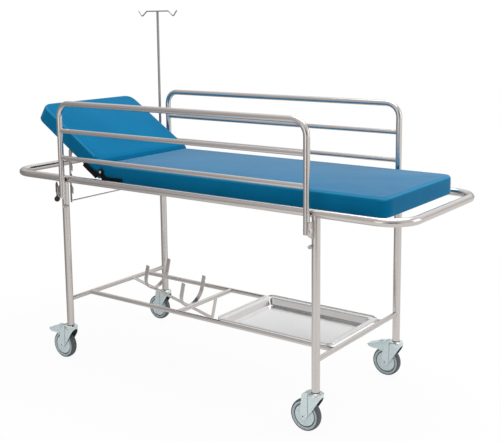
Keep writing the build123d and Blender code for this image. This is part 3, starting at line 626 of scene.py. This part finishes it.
staple_tree, given = new_tree("staples", "Pitch", "Length", "Wire")
wire_size = {"Vertices": 6, "Radius": given["Wire"], "Depth": given["Length"]}
staple = put(staple_tree, "MeshCylinder", wire_size)
end_tree(staple_tree, given, {**points_along(staple_tree, given), "Instance": staple})
sizes = {"Pitch": staple_pitch, "Length": staple_length, "Wire": staple_wire / 2, "Finish": weld_steel}
for name, length, _, place, body in cushions:
    seat = place @ Matrix.Translation((0, 0, ply_low))
    cuts = [(seat, inset_loop(length, ply_inset))]
    plate_piece(f"{name}_ply", cuts, ply_high - ply_low, ply_ease, plywood, body, "board")
    line = [place @ Vector((u, v, staple_level)) for u, v in inset_loop(length, staple_inset)]
    grown(f"{name}_staples", closed_lines(f"{name}_staples", [line]), staple_tree, body, "zinc", **sizes)


# Backrest hinges
# Flat steel leaves, painted black, are screwed to the sides of the two boards. Their ears lie one over the
# other on a riveted pin with a bright domed head, level with the middle of the cushions.
ear_radius, ear_from, ear_to, ear_steps = 0.0135, -38, 232, 24
leaf_ease, leaf_gap = 0.0007, 0.0003
leaf_corner, ear_corner, ear_end = 0.004, 0.002, 0.03
fixed_bar = ((0.008, -0.042), (0.124, -0.042), (0.124, -0.02), (0.029, -0.02))
moving_bar = ((0.008, -0.042), (0.1, -0.042), (0.1, -0.022), (0.062, -0.0205), (0.024, -0.016))
fixed_screws = ((0.05, -0.031), (0.102, -0.031))
moving_screws = ((0.042, -0.031), (0.084, -0.032))
pin_radius, pin_head, pin_crown = 0.005, 0.0068, 0.003
screw_radius, screw_rise = 0.0042, 0.0018
paint_shine = 0.15


def coated(name, light, dark, scale, roughness, shine=0.5):
    """A painted, moulded or rubber surface, with faint mottling and a fine texture."""
    made, tree, shader, place = new_surface(name)
    mottle = noise(place, scale, 4.0)
    tint = ramp(tree, mottle, (0.32, dark), (0.68, light))
    coat(shader, tint, mottle, roughness - 0.08, roughness + 0.08, mottle, 0.15, 0.0003)
    feed(shader, {"Specular IOR Level": shine})
    return made


def eased(*corners):
    """An outline with rounded corners: each is two coordinates and the length cut off."""
    points = []
    for i, (a, b, ease) in enumerate(corners):
        corner = Vector((a, b))
        before = (Vector(corners[i - 1][:2]) - corner).normalized() * ease
        after = (Vector(corners[(i + 1) % len(corners)][:2]) - corner).normalized() * ease
        bends = (0.0, 0.33, 0.67, 1.0) if ease else (0.0,)
        points += [corner + before * (1 - t) ** 2 + after * t**2 for t in bends]
    return points


def arc(radius, start, end, steps):
    """Points on an arc about the origin, between two angles in degrees."""
    angles = [radians(start + (end - start) * i / steps) for i in range(steps + 1)]
    return [(radius * cos(a), radius * sin(a), 0) for a in angles]


def turned_piece(name, places, profile, steps, *finish):
    """A turned piece: a profile of radius and height is swept about each place's Z axis."""
    skin = bmesh.new()
    for place in places:
        rings = []
        for step in range(steps):
            angle = 2 * pi * step / steps
            ring = [place @ Vector((r * cos(angle), r * sin(angle), h)) for r, h in profile]
            rings.append([skin.verts.new(point) for point in ring])
        joined(skin, rings + rings[:1], 0)
    finished(name, skin, *finish)


def axes(origin, x_axis, y_axis):
    """The matrix of a work plane, from its origin and its two directions."""
    x_axis, y_axis = Vector(x_axis), Vector(y_axis)
    turned = Matrix((x_axis, y_axis, x_axis.cross(y_axis))).transposed().to_4x4()
    return Matrix.Translation(origin) @ turned


screw_tree, given = new_tree("screws", "Head radius", "Head rise")
facing = put(screw_tree, "InputNamedAttribute", {"Name": "facing"}, data_type="FLOAT_VECTOR")
turned = put(screw_tree, "FunctionNodeAlignRotationToVector", {"Vector": facing}, axis="Z")
dome = put(screw_tree, "MeshUVSphere", {"Segments": 14, "Rings": 7, "Radius": 1.0})
head_size = {0: given["Head radius"], 1: given["Head radius"], 2: given["Head rise"]}
spread = put(screw_tree, "ShaderNodeCombineXYZ", head_size)
points = put(screw_tree, "MeshToPoints", {"Mesh": given["Mesh"]})
end_tree(screw_tree, given, {"Points": points, "Instance": dome, "Rotation": turned, "Scale": spread})

black_paint = coated("black_paint", (0.006, 0.007, 0.009), (0.003, 0.003, 0.004), 300.0, 0.42, paint_shine)
pin_steel = satin_metal("pin_steel", (0.82, 0.82, 0.81), (0.7, 0.7, 0.69), (160.0,) * 3, 0.2)
sizes = {"Head radius": screw_radius, "Head rise": screw_rise, "Finish": black_paint}
board_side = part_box("main_board")[1].y
fixed_face, moving_face = (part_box(f"hinge_{name}_leaves")[1].y for name in ("fixed", "moving"))
for name, bar, screws, body, way, up, inner, outer in (
    ("fixed", fixed_bar, fixed_screws, "frame", along_frame, upright, board_side, fixed_face),
    ("moving", moving_bar, moving_screws, "backrest", back_u, back_w, fixed_face + leaf_gap, moving_face),
):
    corner_cuts = [(a, b, leaf_corner if a > ear_end else ear_corner) for a, b in bar]
    outline = eased(*arc(ear_radius, ear_from, ear_to, ear_steps), *corner_cuts)
    cuts, heads, ways = [], [], []
    for side in (-1, 1):
        plane = Matrix(((way.x, up.x, 0), (0, 0, side), (way.z, up.z, 0))).to_4x4()
        place = Matrix.Translation(hinge + across_frame * side * inner) @ plane
        cuts.append((place, outline))
        heads += [place @ Vector((a, b, outer - inner)) for a, b in screws]
        ways += [0, side, 0] * len(screws)
    node = f"hinge_{name}_leaves"
    plate_piece(f"{name}_leaves", cuts, outer - inner, leaf_ease, black_paint, body, "black_metal", node)
    seats = bpy.data.meshes.new(f"{name}_leaf_screws")
    seats.from_pydata(heads, [], [])
    facing = seats.attributes.new("facing", "FLOAT_VECTOR", "POINT")
    facing.data.foreach_set("vector", ways)
    grown(f"{name}_leaf_screws", seats, screw_tree, body, "black_metal", **sizes)
rivet = eased(
    (0.0, board_side, 0), (pin_radius, board_side, 0), (pin_radius, moving_face, 0),
    (pin_head, moving_face, 0), (pin_head, moving_face + 0.001, 0.0006),
    (pin_head * 0.62, moving_face + pin_crown, 0.0022), (0.0, moving_face + pin_crown, 0),
)
places = [axes(hinge, (1, 0, 0), (0, 0, -side)) for side in (-1, 1)]
turned_piece("hinge_rivets", places, rivet, 28, pin_steel, "frame", "zinc", "hinge_pins")


# Backrest racks
# Two strips of stainless sheet with hooked teeth swing from lugs below the backrest. A tooth drops over a
# peg on the bed's frame to set the slope, and a thin rod joins the strips so that they move as one.
strip_ease = 0.0005
rack_sheet, rack_eye, rack_neck, rack_tooth = 0.004, 0.01, -0.001, 0.01
rack_length, rack_first, rack_pitch, rack_teeth = 0.245, 0.091, 0.0525, 3
tooth_hook, tooth_face, tooth_ramp = 0.006, 0.024, 0.04
rack_hang = Vector((-0.67333, 0, 0.95877))


def softened(name, node, material, body, slot, width, angle=40):
    """A rounded-over copy of one of the frame's own pieces, which stands for it."""
    skin = bmesh.new()
    skin.from_mesh(nodes[node].data)
    bmesh.ops.remove_doubles(skin, verts=skin.verts, dist=1e-5)
    bmesh.ops.dissolve_limit(skin, angle_limit=radians(0.5), verts=skin.verts, edges=skin.edges)
    ease_edges(finished(name, skin, material, body, slot, node), width, angle)


rack_steel = satin_metal("rack_steel", (0.74, 0.72, 0.7), (0.6, 0.58, 0.565), (30.0, 500.0, 500.0), 0.28)
rack_low, rack_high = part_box("backrest_racks")
rack_edge = [(-rack_eye, -rack_length + rack_eye, 0.007), (rack_neck, -rack_length + rack_eye, 0.005)]
for tooth in reversed(range(rack_teeth)):
    tip = -rack_first - tooth * rack_pitch
    rack_edge += [(rack_neck, tip + tooth_hook, 0.002), (rack_neck + rack_tooth, tip, 0.0008)]
    rack_edge += [(rack_neck + rack_tooth, tip + tooth_face, 0.003), (rack_neck, tip + tooth_ramp, 0.003)]
outline = eased(*arc(rack_eye, 8, 180, 14), *rack_edge)
strip_faces = (rack_low.y + rack_sheet, rack_high.y)
cuts = [(axes(rack_hang + across_frame * face, (1, 0, 0), (0, 0, 1)), outline) for face in strip_faces]
plate_piece("racks", cuts, rack_sheet, strip_ease, rack_steel, "rack", "stainless", "backrest_racks")
softened("rack_lug_plates", "rack_lugs", rack_steel, "backrest", "stainless", strip_ease)
softened("rack_bars", "rack_rod", rack_steel, "rack", "stainless", strip_ease)
softened("peg_bars", "rack_pegs", rack_steel, "frame", "stainless", strip_ease)


# Side rails
# Each rail is one stainless tube bent down at both ends, with two thinner bars welded between its posts.
# It folds outwards about two bolts, in plates that are welded to the legs.
post_x, rail_y = 0.641, 0.361
post_radius, rail_bar_radius = 0.0125, 0.01
rail_bar_heights = (1.063, 0.944)
plate_x, plate_sheet, plate_ease = 0.6545, 0.005, 0.0008
leg_face, plate_outer, plate_corner = 0.3425, 0.377, 0.006
plate_top, plate_low, plate_toe = 0.815, 0.75, 0.004
head_plate_eye, foot_plate_eye = 0.7775, 0.766
bolt_ease = 0.0006

for rail, side in (("front", -1), ("rear", 1)):
    dress(tube_along_x, f"rail_{rail}_hoop", f"rail_{rail}_bars")
    dress(tube_along_z, f"rail_{rail}_caps")
    joints = []
    for end in (-1, 1):
        for height in rail_bar_heights:
            seat = (end * post_x, side * rail_y, height)
            joints.append(saddle(seat, along_frame * -end, upright, rail_bar_radius, post_radius))
    weld(f"rail_{rail}_welds", f"rail_{rail}", joints)
cuts = []
for side in (-1, 1):
    for start, eye in ((-plate_x - plate_sheet, head_plate_eye), (plate_x, foot_plate_eye)):
        outline = eased(
            (leg_face, plate_top, 0), (plate_outer, plate_top, plate_corner),
            (plate_outer, eye, plate_corner), (leg_face + plate_toe, plate_low, plate_toe),
            (leg_face, plate_low, 0),
        )
        inner = start if side > 0 else start + plate_sheet
        cuts.append((axes((inner, 0, 0), (0, side, 0), (0, 0, 1)), outline))
plate_piece("rail_plates", cuts, plate_sheet, plate_ease, tube_along_z, "frame", "stainless", "rail_brackets")
softened("rail_bolts", "rail_pivot_bolts", pin_steel, "frame", "zinc", bolt_ease)


# Rail stops
# Short rubber plugs on the top tube take the upright posts. Grey rubber buttons on the legs, on steel
# studs, take the posts when a rail hangs down.
bumper_ease, button_ease, stop_angle = 0.002, 0.0026, 60

black_rubber = coated("black_rubber", (0.034, 0.034, 0.035), (0.018, 0.018, 0.019), 500.0, 0.62)
grey_rubber = coated("grey_rubber", (0.6, 0.57, 0.555), (0.52, 0.495, 0.48), 500.0, 0.45)
softened("rail_plugs", "rail_bumpers", black_rubber, "frame", "rubber", bumper_ease, stop_angle)
softened("rail_buttons", "rail_buffers", grey_rubber, "frame", "rubber", button_ease, stop_angle)


# Rail latches
# A spring plunger in a short sleeve beside each head leg holds the rail up. Its sleeve and rod are painted
# dark grey, and a black moulded ball knob pulls it down.
knob_radius, knob_up, knob_down = 0.0126, 0.0122, 0.0132
knob_bore, knob_neck = 0.0036, 0.0062
knob_steps = 17
sleeve_ease = 0.0006

dark_paint = coated("dark_grey_paint", (0.105, 0.105, 0.108), (0.075, 0.075, 0.078), 300.0, 0.4)
knob_plastic = coated("knob_plastic", (0.012, 0.012, 0.0125), (0.007, 0.007, 0.0075), 120.0, 0.2)
ball = [(knob_bore, knob_up), (knob_neck, knob_up)]
for step in range(2, knob_steps):
    angle = pi / 2 - pi * step / knob_steps
    ball.append((knob_radius * cos(angle), (knob_up if angle > 0 else knob_down) * sin(angle)))
ball += [(0.0, -knob_down), (0.0, 0.0), (knob_bore, 0.0)]
softened("latch_sleeves", "latch_guides", dark_paint, "frame", "black_metal", sleeve_ease)
for body in ("latch_front", "latch_rear"):
    softened(f"{body}_plunger", f"{body}_rod", dark_paint, body, "black_metal", sleeve_ease)
    places = [Matrix.Translation(middle(f"{body}_knob"))]
    turned_piece(f"{body}_grip", places, ball, 32, knob_plastic, body, "knob", f"{body}_knob")


# Drip pole
# A thin stainless rod stands in a welded socket at the head end. A wire bent into two hooks is welded
# across its top, with the wire's ends rounded.
socket_ease = 0.0008
wire_radius, wire_steps, wire_overlap = 0.003, 12, 0.001
hook_run = Vector((0.021, 0, 0.026)).normalized()
tip_reach = 0.124
# Painted shade: the rod's stainless is toned far darker than the frame's, for the dark edges and reflections
# of the thin rod.
pole_light, pole_dark = (0.43, 0.425, 0.42), (0.34, 0.335, 0.33)

pole_steel = satin_metal("pole_steel", pole_light, pole_dark, (fine_mark, fine_mark, long_mark), satin)
dress(pole_steel, "iv_pole", "iv_hanger")
softened("pole_socket", "iv_socket", tube_along_z, "frame", "stainless", socket_ease)
pole = middle("iv_pole")
hanger_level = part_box("iv_hanger")[1].z - wire_radius * hook_run.x
cap = [(wire_radius * cos(a), wire_radius * sin(a)) for a in (0.0, 0.4, 0.8, 1.2)]
cap = [(0.0, -wire_overlap), *cap, (0.0, wire_radius)]
places = []
for end in (-1, 1):
    out = Vector((end * hook_run.x, 0, hook_run.z))
    tip = Vector((pole.x + end * tip_reach, pole.y, hanger_level))
    places.append(axes(tip, (0, 1, 0), out.cross(across_frame)))
turned_piece("hook_ends", places, cap, wire_steps, pole_steel, "drip_pole", "stainless")


# Tray
# A shallow pan pressed from bright stainless sheet. Its flange ends in a rolled round rim, which lies on
# the two long bars, and a small step leads from the flange to the sloping walls.
tray_rim, tray_sheet = 0.0045, 0.0013
rim_corner, floor_corner, corner_steps = 0.036, 0.018, 9
flange_inset, step_inset, step_drop = 0.012, 0.0265, 0.0016
wall_slope, floor_bend = 20.0, 0.006
roll_steps = 16
tray_light, tray_dark, tray_metal = (0.985,) * 3, (0.94,) * 3, 0.8


def tray_ring(skin, inset, z):
    """A rounded rectangle around the tray, a given distance in from its outer edge."""
    corner = max(floor_corner, rim_corner + tray_rim - inset)
    ring = []
    for quarter, (sx, sy) in enumerate(((1, 1), (-1, 1), (-1, -1), (1, -1))):
        centre = Vector((sx * (half_length - inset - corner), sy * (half_width - inset - corner)))
        for step in range(corner_steps + 1):
            angle = radians(90 * (quarter + step / corner_steps))
            point = centre + corner * Vector((cos(angle), sin(angle)))
            ring.append(skin.verts.new((tray_middle.x + point.x, tray_middle.y + point.y, z)))
    return ring


def thicken(piece, thickness, **more):
    """Gives a sheet its thickness."""
    settle(piece.modifiers.new("sheet", "SOLIDIFY"), thickness=thickness, **more)


tray_steel = satin_metal("tray_steel", tray_light, tray_dark, (14.0, 420.0, 420.0), 0.2, tray_metal)
tray_low, tray_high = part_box("tray")
tray_middle = middle("tray")
half_length, half_width = tray_high.x - tray_middle.x, tray_high.y - tray_middle.y
rim_height = tray_high.z - tray_rim
pan_floor = tray_low.z + tray_sheet / 2
flange_height = rim_height - tray_sheet / 2
wall_top = flange_height - step_drop
wall_run = (wall_top - pan_floor) * tan(radians(wall_slope))
wall = eased(
    (0.0, flange_height, 0), (step_inset, flange_height, 0.001), (step_inset + 0.0012, wall_top, 0.0006),
    (step_inset + 0.004, wall_top, 0.002), (step_inset + 0.004 + wall_run, pan_floor, floor_bend),
    (half_width, pan_floor, 0),
)[1:-1]
skin = bmesh.new()
levels = [(tray_rim, flange_height), (flange_inset, flange_height), *wall]
rings = [tray_ring(skin, inset, height) for inset, height in levels]
joined(skin, rings, 0)
skin.faces.new(rings[-1])
pan = finished("tray_pan", skin, tray_steel, "tray", "stainless", "tray")
thicken(pan, tray_sheet, offset=0.0)
skin = bmesh.new()
rolls = [2 * pi * i / roll_steps for i in range(roll_steps + 1)]
rings = [tray_ring(skin, tray_rim * (1 + cos(a)), rim_height + tray_rim * sin(a)) for a in rolls]
joined(skin, rings, 0)
finished("tray_rim", skin, tray_steel, "tray", "stainless")


# Bottle cradle
# A flat stainless strip slopes down from the head bar and turns up to the middle bar. Two open hoops of the
# same strip are welded on it to hold a gas bottle.
cradle_ease = 0.0008

strip_steel = satin_metal("strip_steel", steel_light, steel_dark, (8.0, 600.0, 600.0), 0.26)
softened("cradle_bar", "cradle_strip", strip_steel, "frame", "stainless", cradle_ease)
softened("cradle_rings", "cradle_hoops", strip_steel, "frame", "stainless", cradle_ease)


# Castor forks
# Each fork is pressed from zinc-plated steel sheet: two cheeks beside the wheel and a roof over it, folded
# in towards the nose, under a round crown that holds the swivel's balls. It turns on the stem in its leg.
cheek_sheet, cheek_cell, cheek_rows, fork_ease = 0.0024, 0.0025, 10, 0.0006
cheek_crest = (
    (-0.057, 0.064), (-0.053, 0.118), (-0.0505, 0.144), (-0.047, 0.15), (-0.028, 0.1572),
    (0.03, 0.158),
)
cheek_foot = ((-0.0245, 0.066), (-0.021, 0.069), (-0.004, 0.0905), (0.017, 0.1225), (0.03, 0.147))
cheek_path = (
    (-0.057, 0.0204), (-0.0214, 0.0204), (-0.0203, 0.0192), (0.0, 0.0212), (0.012, 0.0222),
    (0.02, 0.0205), (0.0262, 0.014), (0.0288, 0.006),
)
crease_place, crease_low, crease_high, crease_half = -0.0222, 0.069, 0.1555, 0.0009
wheel_back, wheel_height, cheek_end, lobe_ahead = -0.042, 0.0625, 0.0145, -0.0275
nose_front, nose_lip = 0.0296, 0.004
roof_behind, roof_ahead = -0.0515, 0.014
crown_radius, crown_bore, crown_top, crown_low, crown_inside = 0.0305, 0.0125, 0.1617, 0.146, 0.15
# A thin black ring under each leg: painted shade for the gap between leg and crown.
shade_ring_bore, shade_ring_radius, shade_ring_low, shade_ring_high = 0.01, 0.0166, 0.1618, 0.1642


def plated(name, light, dark, metal, roughness):
    """Zinc plating: a pale, slightly green, cloudy metal with a fine crystal pattern."""
    return satin_metal(name, light, dark, (150.0,) * 3, roughness, metal)


def along_edge(edge, x):
    """The height of an edge at a place along it, between its points."""
    for (x0, z0), (x1, z1) in zip(edge, edge[1:]):
        if x <= x1:
            return z0 + (z1 - z0) * (x - x0) / (x1 - x0)
    return edge[-1][1]


def cheek_bottom(x):
    """Height of a cheek's lower edge: round below the axle, then up a slope to the nose."""
    lobe = wheel_height - sqrt(max(0.0, cheek_end**2 - (x - wheel_back) ** 2))
    return lobe if x < lobe_ahead else along_edge(cheek_foot, x)


def fork_sheet(stem):
    """A fork's folded sheet: both cheeks round the nose, and the roof between them."""
    half = [cheek_path[0]]
    for (x0, y0), (x1, y1) in zip(cheek_path, cheek_path[1:]):
        count = max(1, round((x1 - x0) / cheek_cell))
        half += [(x0 + (x1 - x0) * i / count, y0 + (y1 - y0) * i / count) for i in range(1, count + 1)]
    path = [(x, -y) for x, y in half] + [(nose_front, 0.0)] + [(x, y) for x, y in reversed(half)]
    skin = bmesh.new()
    columns = []
    for x, y in path:
        high = along_edge(cheek_crest, x)
        low = min(cheek_bottom(x), high - nose_lip)
        heights = [low + (high - low) * row / cheek_rows for row in range(cheek_rows + 1)]
        columns.append([skin.verts.new(stem + Vector((x, y, z))) for z in heights])
    joined(skin, columns, 1)
    count = len(columns)
    for i in range(count // 2 - 1):
        if roof_behind < path[i][0] < roof_ahead:
            skin.faces.new([columns[j][-1] for j in (i, i + 1, count - 2 - i, count - 1 - i)])
    return skin


zinc = plated("zinc_plate", (0.83, 0.965, 0.99), (0.72, 0.86, 0.89), 0.22, 0.34)
bright_zinc = plated("bright_zinc", (0.86, 0.9, 0.9), (0.7, 0.75, 0.75), 0.85, 0.2)
# Painted shade: a dark copy of the zinc for the inside of the forks and the axle sockets.
painted_shade_zinc = plated("painted_shade_zinc", (0.085, 0.115, 0.11), (0.05, 0.07, 0.068), 0.2, 0.5)
crease_shade = plated("crease_shade", (0.3, 0.37, 0.38), (0.24, 0.3, 0.31), 0.2, 0.5)
crown_profile = eased(
    (crown_bore, crown_top, 0), (0.0195, crown_top, 0.001), (0.0215, 0.16, 0.001),
    (0.0262, 0.1594, 0.002), (0.0296, 0.156, 0.002), (0.0296, 0.153, 0.0006),
    (crown_radius, 0.152, 0.0008), (crown_radius, crown_low + 0.0015, 0.0012),
    (crown_radius - 0.003, crown_low, 0.001), (crown_radius - 0.005, crown_low + 0.001, 0.001),
    (crown_radius - 0.005, crown_inside, 0), (crown_bore, crown_inside, 0),
)
shade_ring_profile = eased(
    (shade_ring_bore, shade_ring_low, 0), (shade_ring_radius, shade_ring_low, 0.0006),
    (shade_ring_radius, shade_ring_high, 0.0006), (shade_ring_bore, shade_ring_high, 0),
)
crease_outline = [
    (-crease_half, crease_low), (crease_half, crease_low), (crease_half, crease_high),
    (-crease_half, crease_high),
]
dress(zinc, "castor_stems")
stems = [Vector((leg.x, leg.y, 0)) for leg in leg_places]
for corner, stem in zip(corners, stems):
    body = f"castor_{corner}"
    fork = finished(f"fork_{corner}", fork_sheet(stem), zinc, body, "zinc", f"castor_{corner}_fork")
    fork.data.materials.append(painted_shade_zinc)
    # The sheet's inner face takes the second material: painted shade inside the fork.
    thicken(fork, cheek_sheet, offset=0.0, material_offset=1)
    ease_edges(fork, fork_ease, 50)
    turned_piece(f"crown_{corner}", [Matrix.Translation(stem)], crown_profile, 56, bright_zinc, body, "zinc")
    # Painted shade: thin dark strips laid along each cheek's crease line.
    cuts = []
    for side in (-1, 1):
        face = side * (cheek_path[1][1] + cheek_sheet / 2)
        place = stem + Vector((crease_place, face + crease_half / 2, 0))
        cuts.append((axes(place, (1, 0, 0), (0, 0, 1)), crease_outline))
    plate_piece(f"fork_crease_shadows_{corner}", cuts, crease_half, 0, crease_shade, body, "zinc")
# Painted shade: a thin black ring under each leg stands for the shadow gap between leg and crown.
places = [Matrix.Translation(stem) for stem in stems]
turned_piece("leg_shade_rings", places, shade_ring_profile, 40, black_rubber, "frame", "rubber")


# Wheels and tyres
# A pale plastic centre with a dished disc runs on a steel axle bolt. The grey rubber tyre is moulded on to
# it between two rim flanges, each with a blue-grey ring. A dark ring in the groove beside the disc is
# painted shade, and so is a dark dot on each axle head.
disc_face, groove_floor, flange_face = 0.0136, 0.0085, 0.015
groove_shade_in, groove_shade_out, groove_shade_low, groove_shade_high = 0.0428, 0.0464, 0.008, 0.0118
ring_in, ring_out = 0.047, 0.0547
tyre_radius = 0.0625
axle_bolt, axle_head, axle_socket = 0.004, 0.007, 0.003
axle_length, axle_top, socket_top = 0.0215, 0.0245, 0.0249

tyre_rubber = coated("tyre_rubber", (0.125, 0.138, 0.15), (0.092, 0.104, 0.115), 260.0, 0.58)
rim_plastic = coated("rim_plastic", (0.5, 0.625, 0.67), (0.43, 0.545, 0.59), 180.0, 0.42)
# Painted shade: the dark rubber ring laid in the groove beside the disc.
groove_shade_rubber = coated("groove_shade_rubber", (0.035, 0.045, 0.052), (0.022, 0.029, 0.034), 400.0, 0.6)
wheel_plastic = coated("wheel_plastic", (0.8, 0.925, 0.965), (0.72, 0.84, 0.88), 180.0, 0.38)


def both_sides(*corners):
    """A wheel's closed section: the corners of one side, and their mirror images in reverse."""
    return eased(*corners, *((r, -h, ease) for r, h, ease in reversed(corners)))


wheel_section = both_sides(
    (0.0043, 0.017, 0), (0.0125, 0.017, 0.001), (0.014, 0.014, 0.0006), (0.0418, disc_face, 0.0012),
    (0.043, groove_floor, 0.0004), (0.0462, groove_floor, 0.0004), (0.0466, flange_face - 0.001, 0.0008),
    (0.0548, flange_face, 0.001), (0.0556, 0.013, 0), (0.0525, 0.012, 0),
)
tyre_section = both_sides(
    (0.0526, 0.0118, 0), (0.0556, 0.0144, 0.0004), (0.057, 0.015, 0.0006), (0.06, 0.0136, 0.0018),
    (0.0618, 0.0085, 0.003), (tyre_radius, 0.003, 0.002),
)
groove_shade_section = eased(
    (groove_shade_in, groove_shade_low, 0), (groove_shade_out, groove_shade_low, 0), (groove_shade_out, groove_shade_high, 0.0006),
    (groove_shade_in, groove_shade_high, 0.0006),
)
rim_section = eased(
    (ring_in, flange_face - 0.002, 0), (ring_out, flange_face - 0.001, 0),
    (ring_out, flange_face + 0.0004, 0.0004), (ring_in, flange_face - 0.0005, 0.0004),
)
axle_section = eased(
    (0.0, 0.0, 0), (axle_bolt, 0.0, 0), (axle_bolt, axle_length, 0), (axle_head, axle_length, 0),
    (axle_head, axle_top - 0.001, 0.0004), (axle_head - 0.0012, axle_top, 0.0004), (0.0, axle_top, 0),
)
socket_section = eased(
    (0.0, axle_length, 0), (axle_socket, axle_length, 0), (axle_socket, socket_top, 0.0002),
    (0.0, socket_top, 0),
)
across_wheel = Matrix.Rotation(radians(-90), 4, "X")
for corner in corners:
    castor, wheel = f"castor_{corner}", f"wheel_{corner}"
    hub = Matrix.Translation(middle(f"{castor}_tyre")) @ across_wheel
    faces = [hub, hub @ Matrix.Rotation(pi, 4, "X")]
    for name, places, section, steps, *finish in (
        ("wheel_centre", [hub], wheel_section, 72, wheel_plastic, wheel, "wheel_plastic", f"{castor}_wheel"),
        ("tyre", [hub], tyre_section, 72, tyre_rubber, wheel, "tyre", f"{castor}_tyre"),
        ("wheel_groove_shade", faces, groove_shade_section, 72, groove_shade_rubber, wheel, "tyre"),
        ("wheel_rim", faces, rim_section, 72, rim_plastic, wheel, "wheel_plastic"),
        ("axle", faces, axle_section, 28, zinc, castor, "zinc", f"{castor}_axle"),
        # A dark disc on each axle head: painted shade in its socket.
        ("axle_socket_shades", faces, socket_section, 12, painted_shade_zinc, castor, "zinc"),
    ):
        turned_piece(f"{name}_{corner}", places, section, steps, *finish)


# Brake pedals
# On two castors a pedal pressed from zinc-plated sheet sits over the back of the fork: a sloping tread with
# its sides folded down outside the cheeks, and a raised tab on top. It turns on a pin through the cheeks.
pedal_upper = (
    (0.04, 0.1575), (0.05, 0.153), (0.066, 0.1485), (0.085, 0.143), (0.113, 0.1335), (0.126, 0.129),
    (0.132, 0.1264),
)
pedal_lower = (
    (0.04, 0.155), (0.0455, 0.149), (0.0555, 0.111), (0.062, 0.114), (0.075, 0.1165),
    (0.102, 0.1165), (0.119, 0.1195), (0.132, 0.125),
)
pedal_half = ((0.04, 0.0238), (0.11, 0.0238), (0.122, 0.0215), (0.132, 0.015))
pedal_start, pedal_length, pedal_columns = 0.04, 0.092, 46
pedal_sheet, pedal_fold, pedal_ease = 0.0016, 0.004, 0.0005
tab_half, tab_rise, tab_sunk, tab_ease = 0.0065, 0.008, 0.001, 0.0012
tab_line = ((0.056, 0.0), (0.058, 0.7), (0.062, 1.0), (0.07, 1.0), (0.075, 0.8), (0.078, 0.0))

for corner, stem in zip(corners, stems):
    node, body = f"castor_{corner}_pedal", f"pedal_{corner}"
    if node not in nodes:
        continue
    skin = bmesh.new()
    columns = []
    for back in [pedal_start + pedal_length * i / pedal_columns for i in range(pedal_columns + 1)]:
        high, low, half = (along_edge(edge, back) for edge in (pedal_upper, pedal_lower, pedal_half))
        fold = min(pedal_fold, high - low)
        side = [(half, low), (half, (low + high - fold) / 2), (half, high - fold)]
        side += [(half - fold * 0.3, high - fold * 0.3), (half - fold, high)]
        section = [(-y, z) for y, z in side] + [(0.0, high)] + [(y, z) for y, z in reversed(side)]
        columns.append([skin.verts.new(stem + Vector((-back, y, z))) for y, z in section])
    joined(skin, columns, 1)
    pedal = finished(f"pedal_tread_{corner}", skin, zinc, body, "zinc", node)
    thicken(pedal, pedal_sheet, offset=-1.0)
    ease_edges(pedal, pedal_ease, 50)
    outline = [(-back, along_edge(pedal_upper, back) - tab_sunk + tab_rise * rise) for back, rise in tab_line]
    cuts = [(axes(stem + across_frame * tab_half, (1, 0, 0), (0, 0, 1)), outline)]
    plate_piece(f"pedal_tab_{corner}", cuts, 2 * tab_half, tab_ease, zinc, body, "zinc")
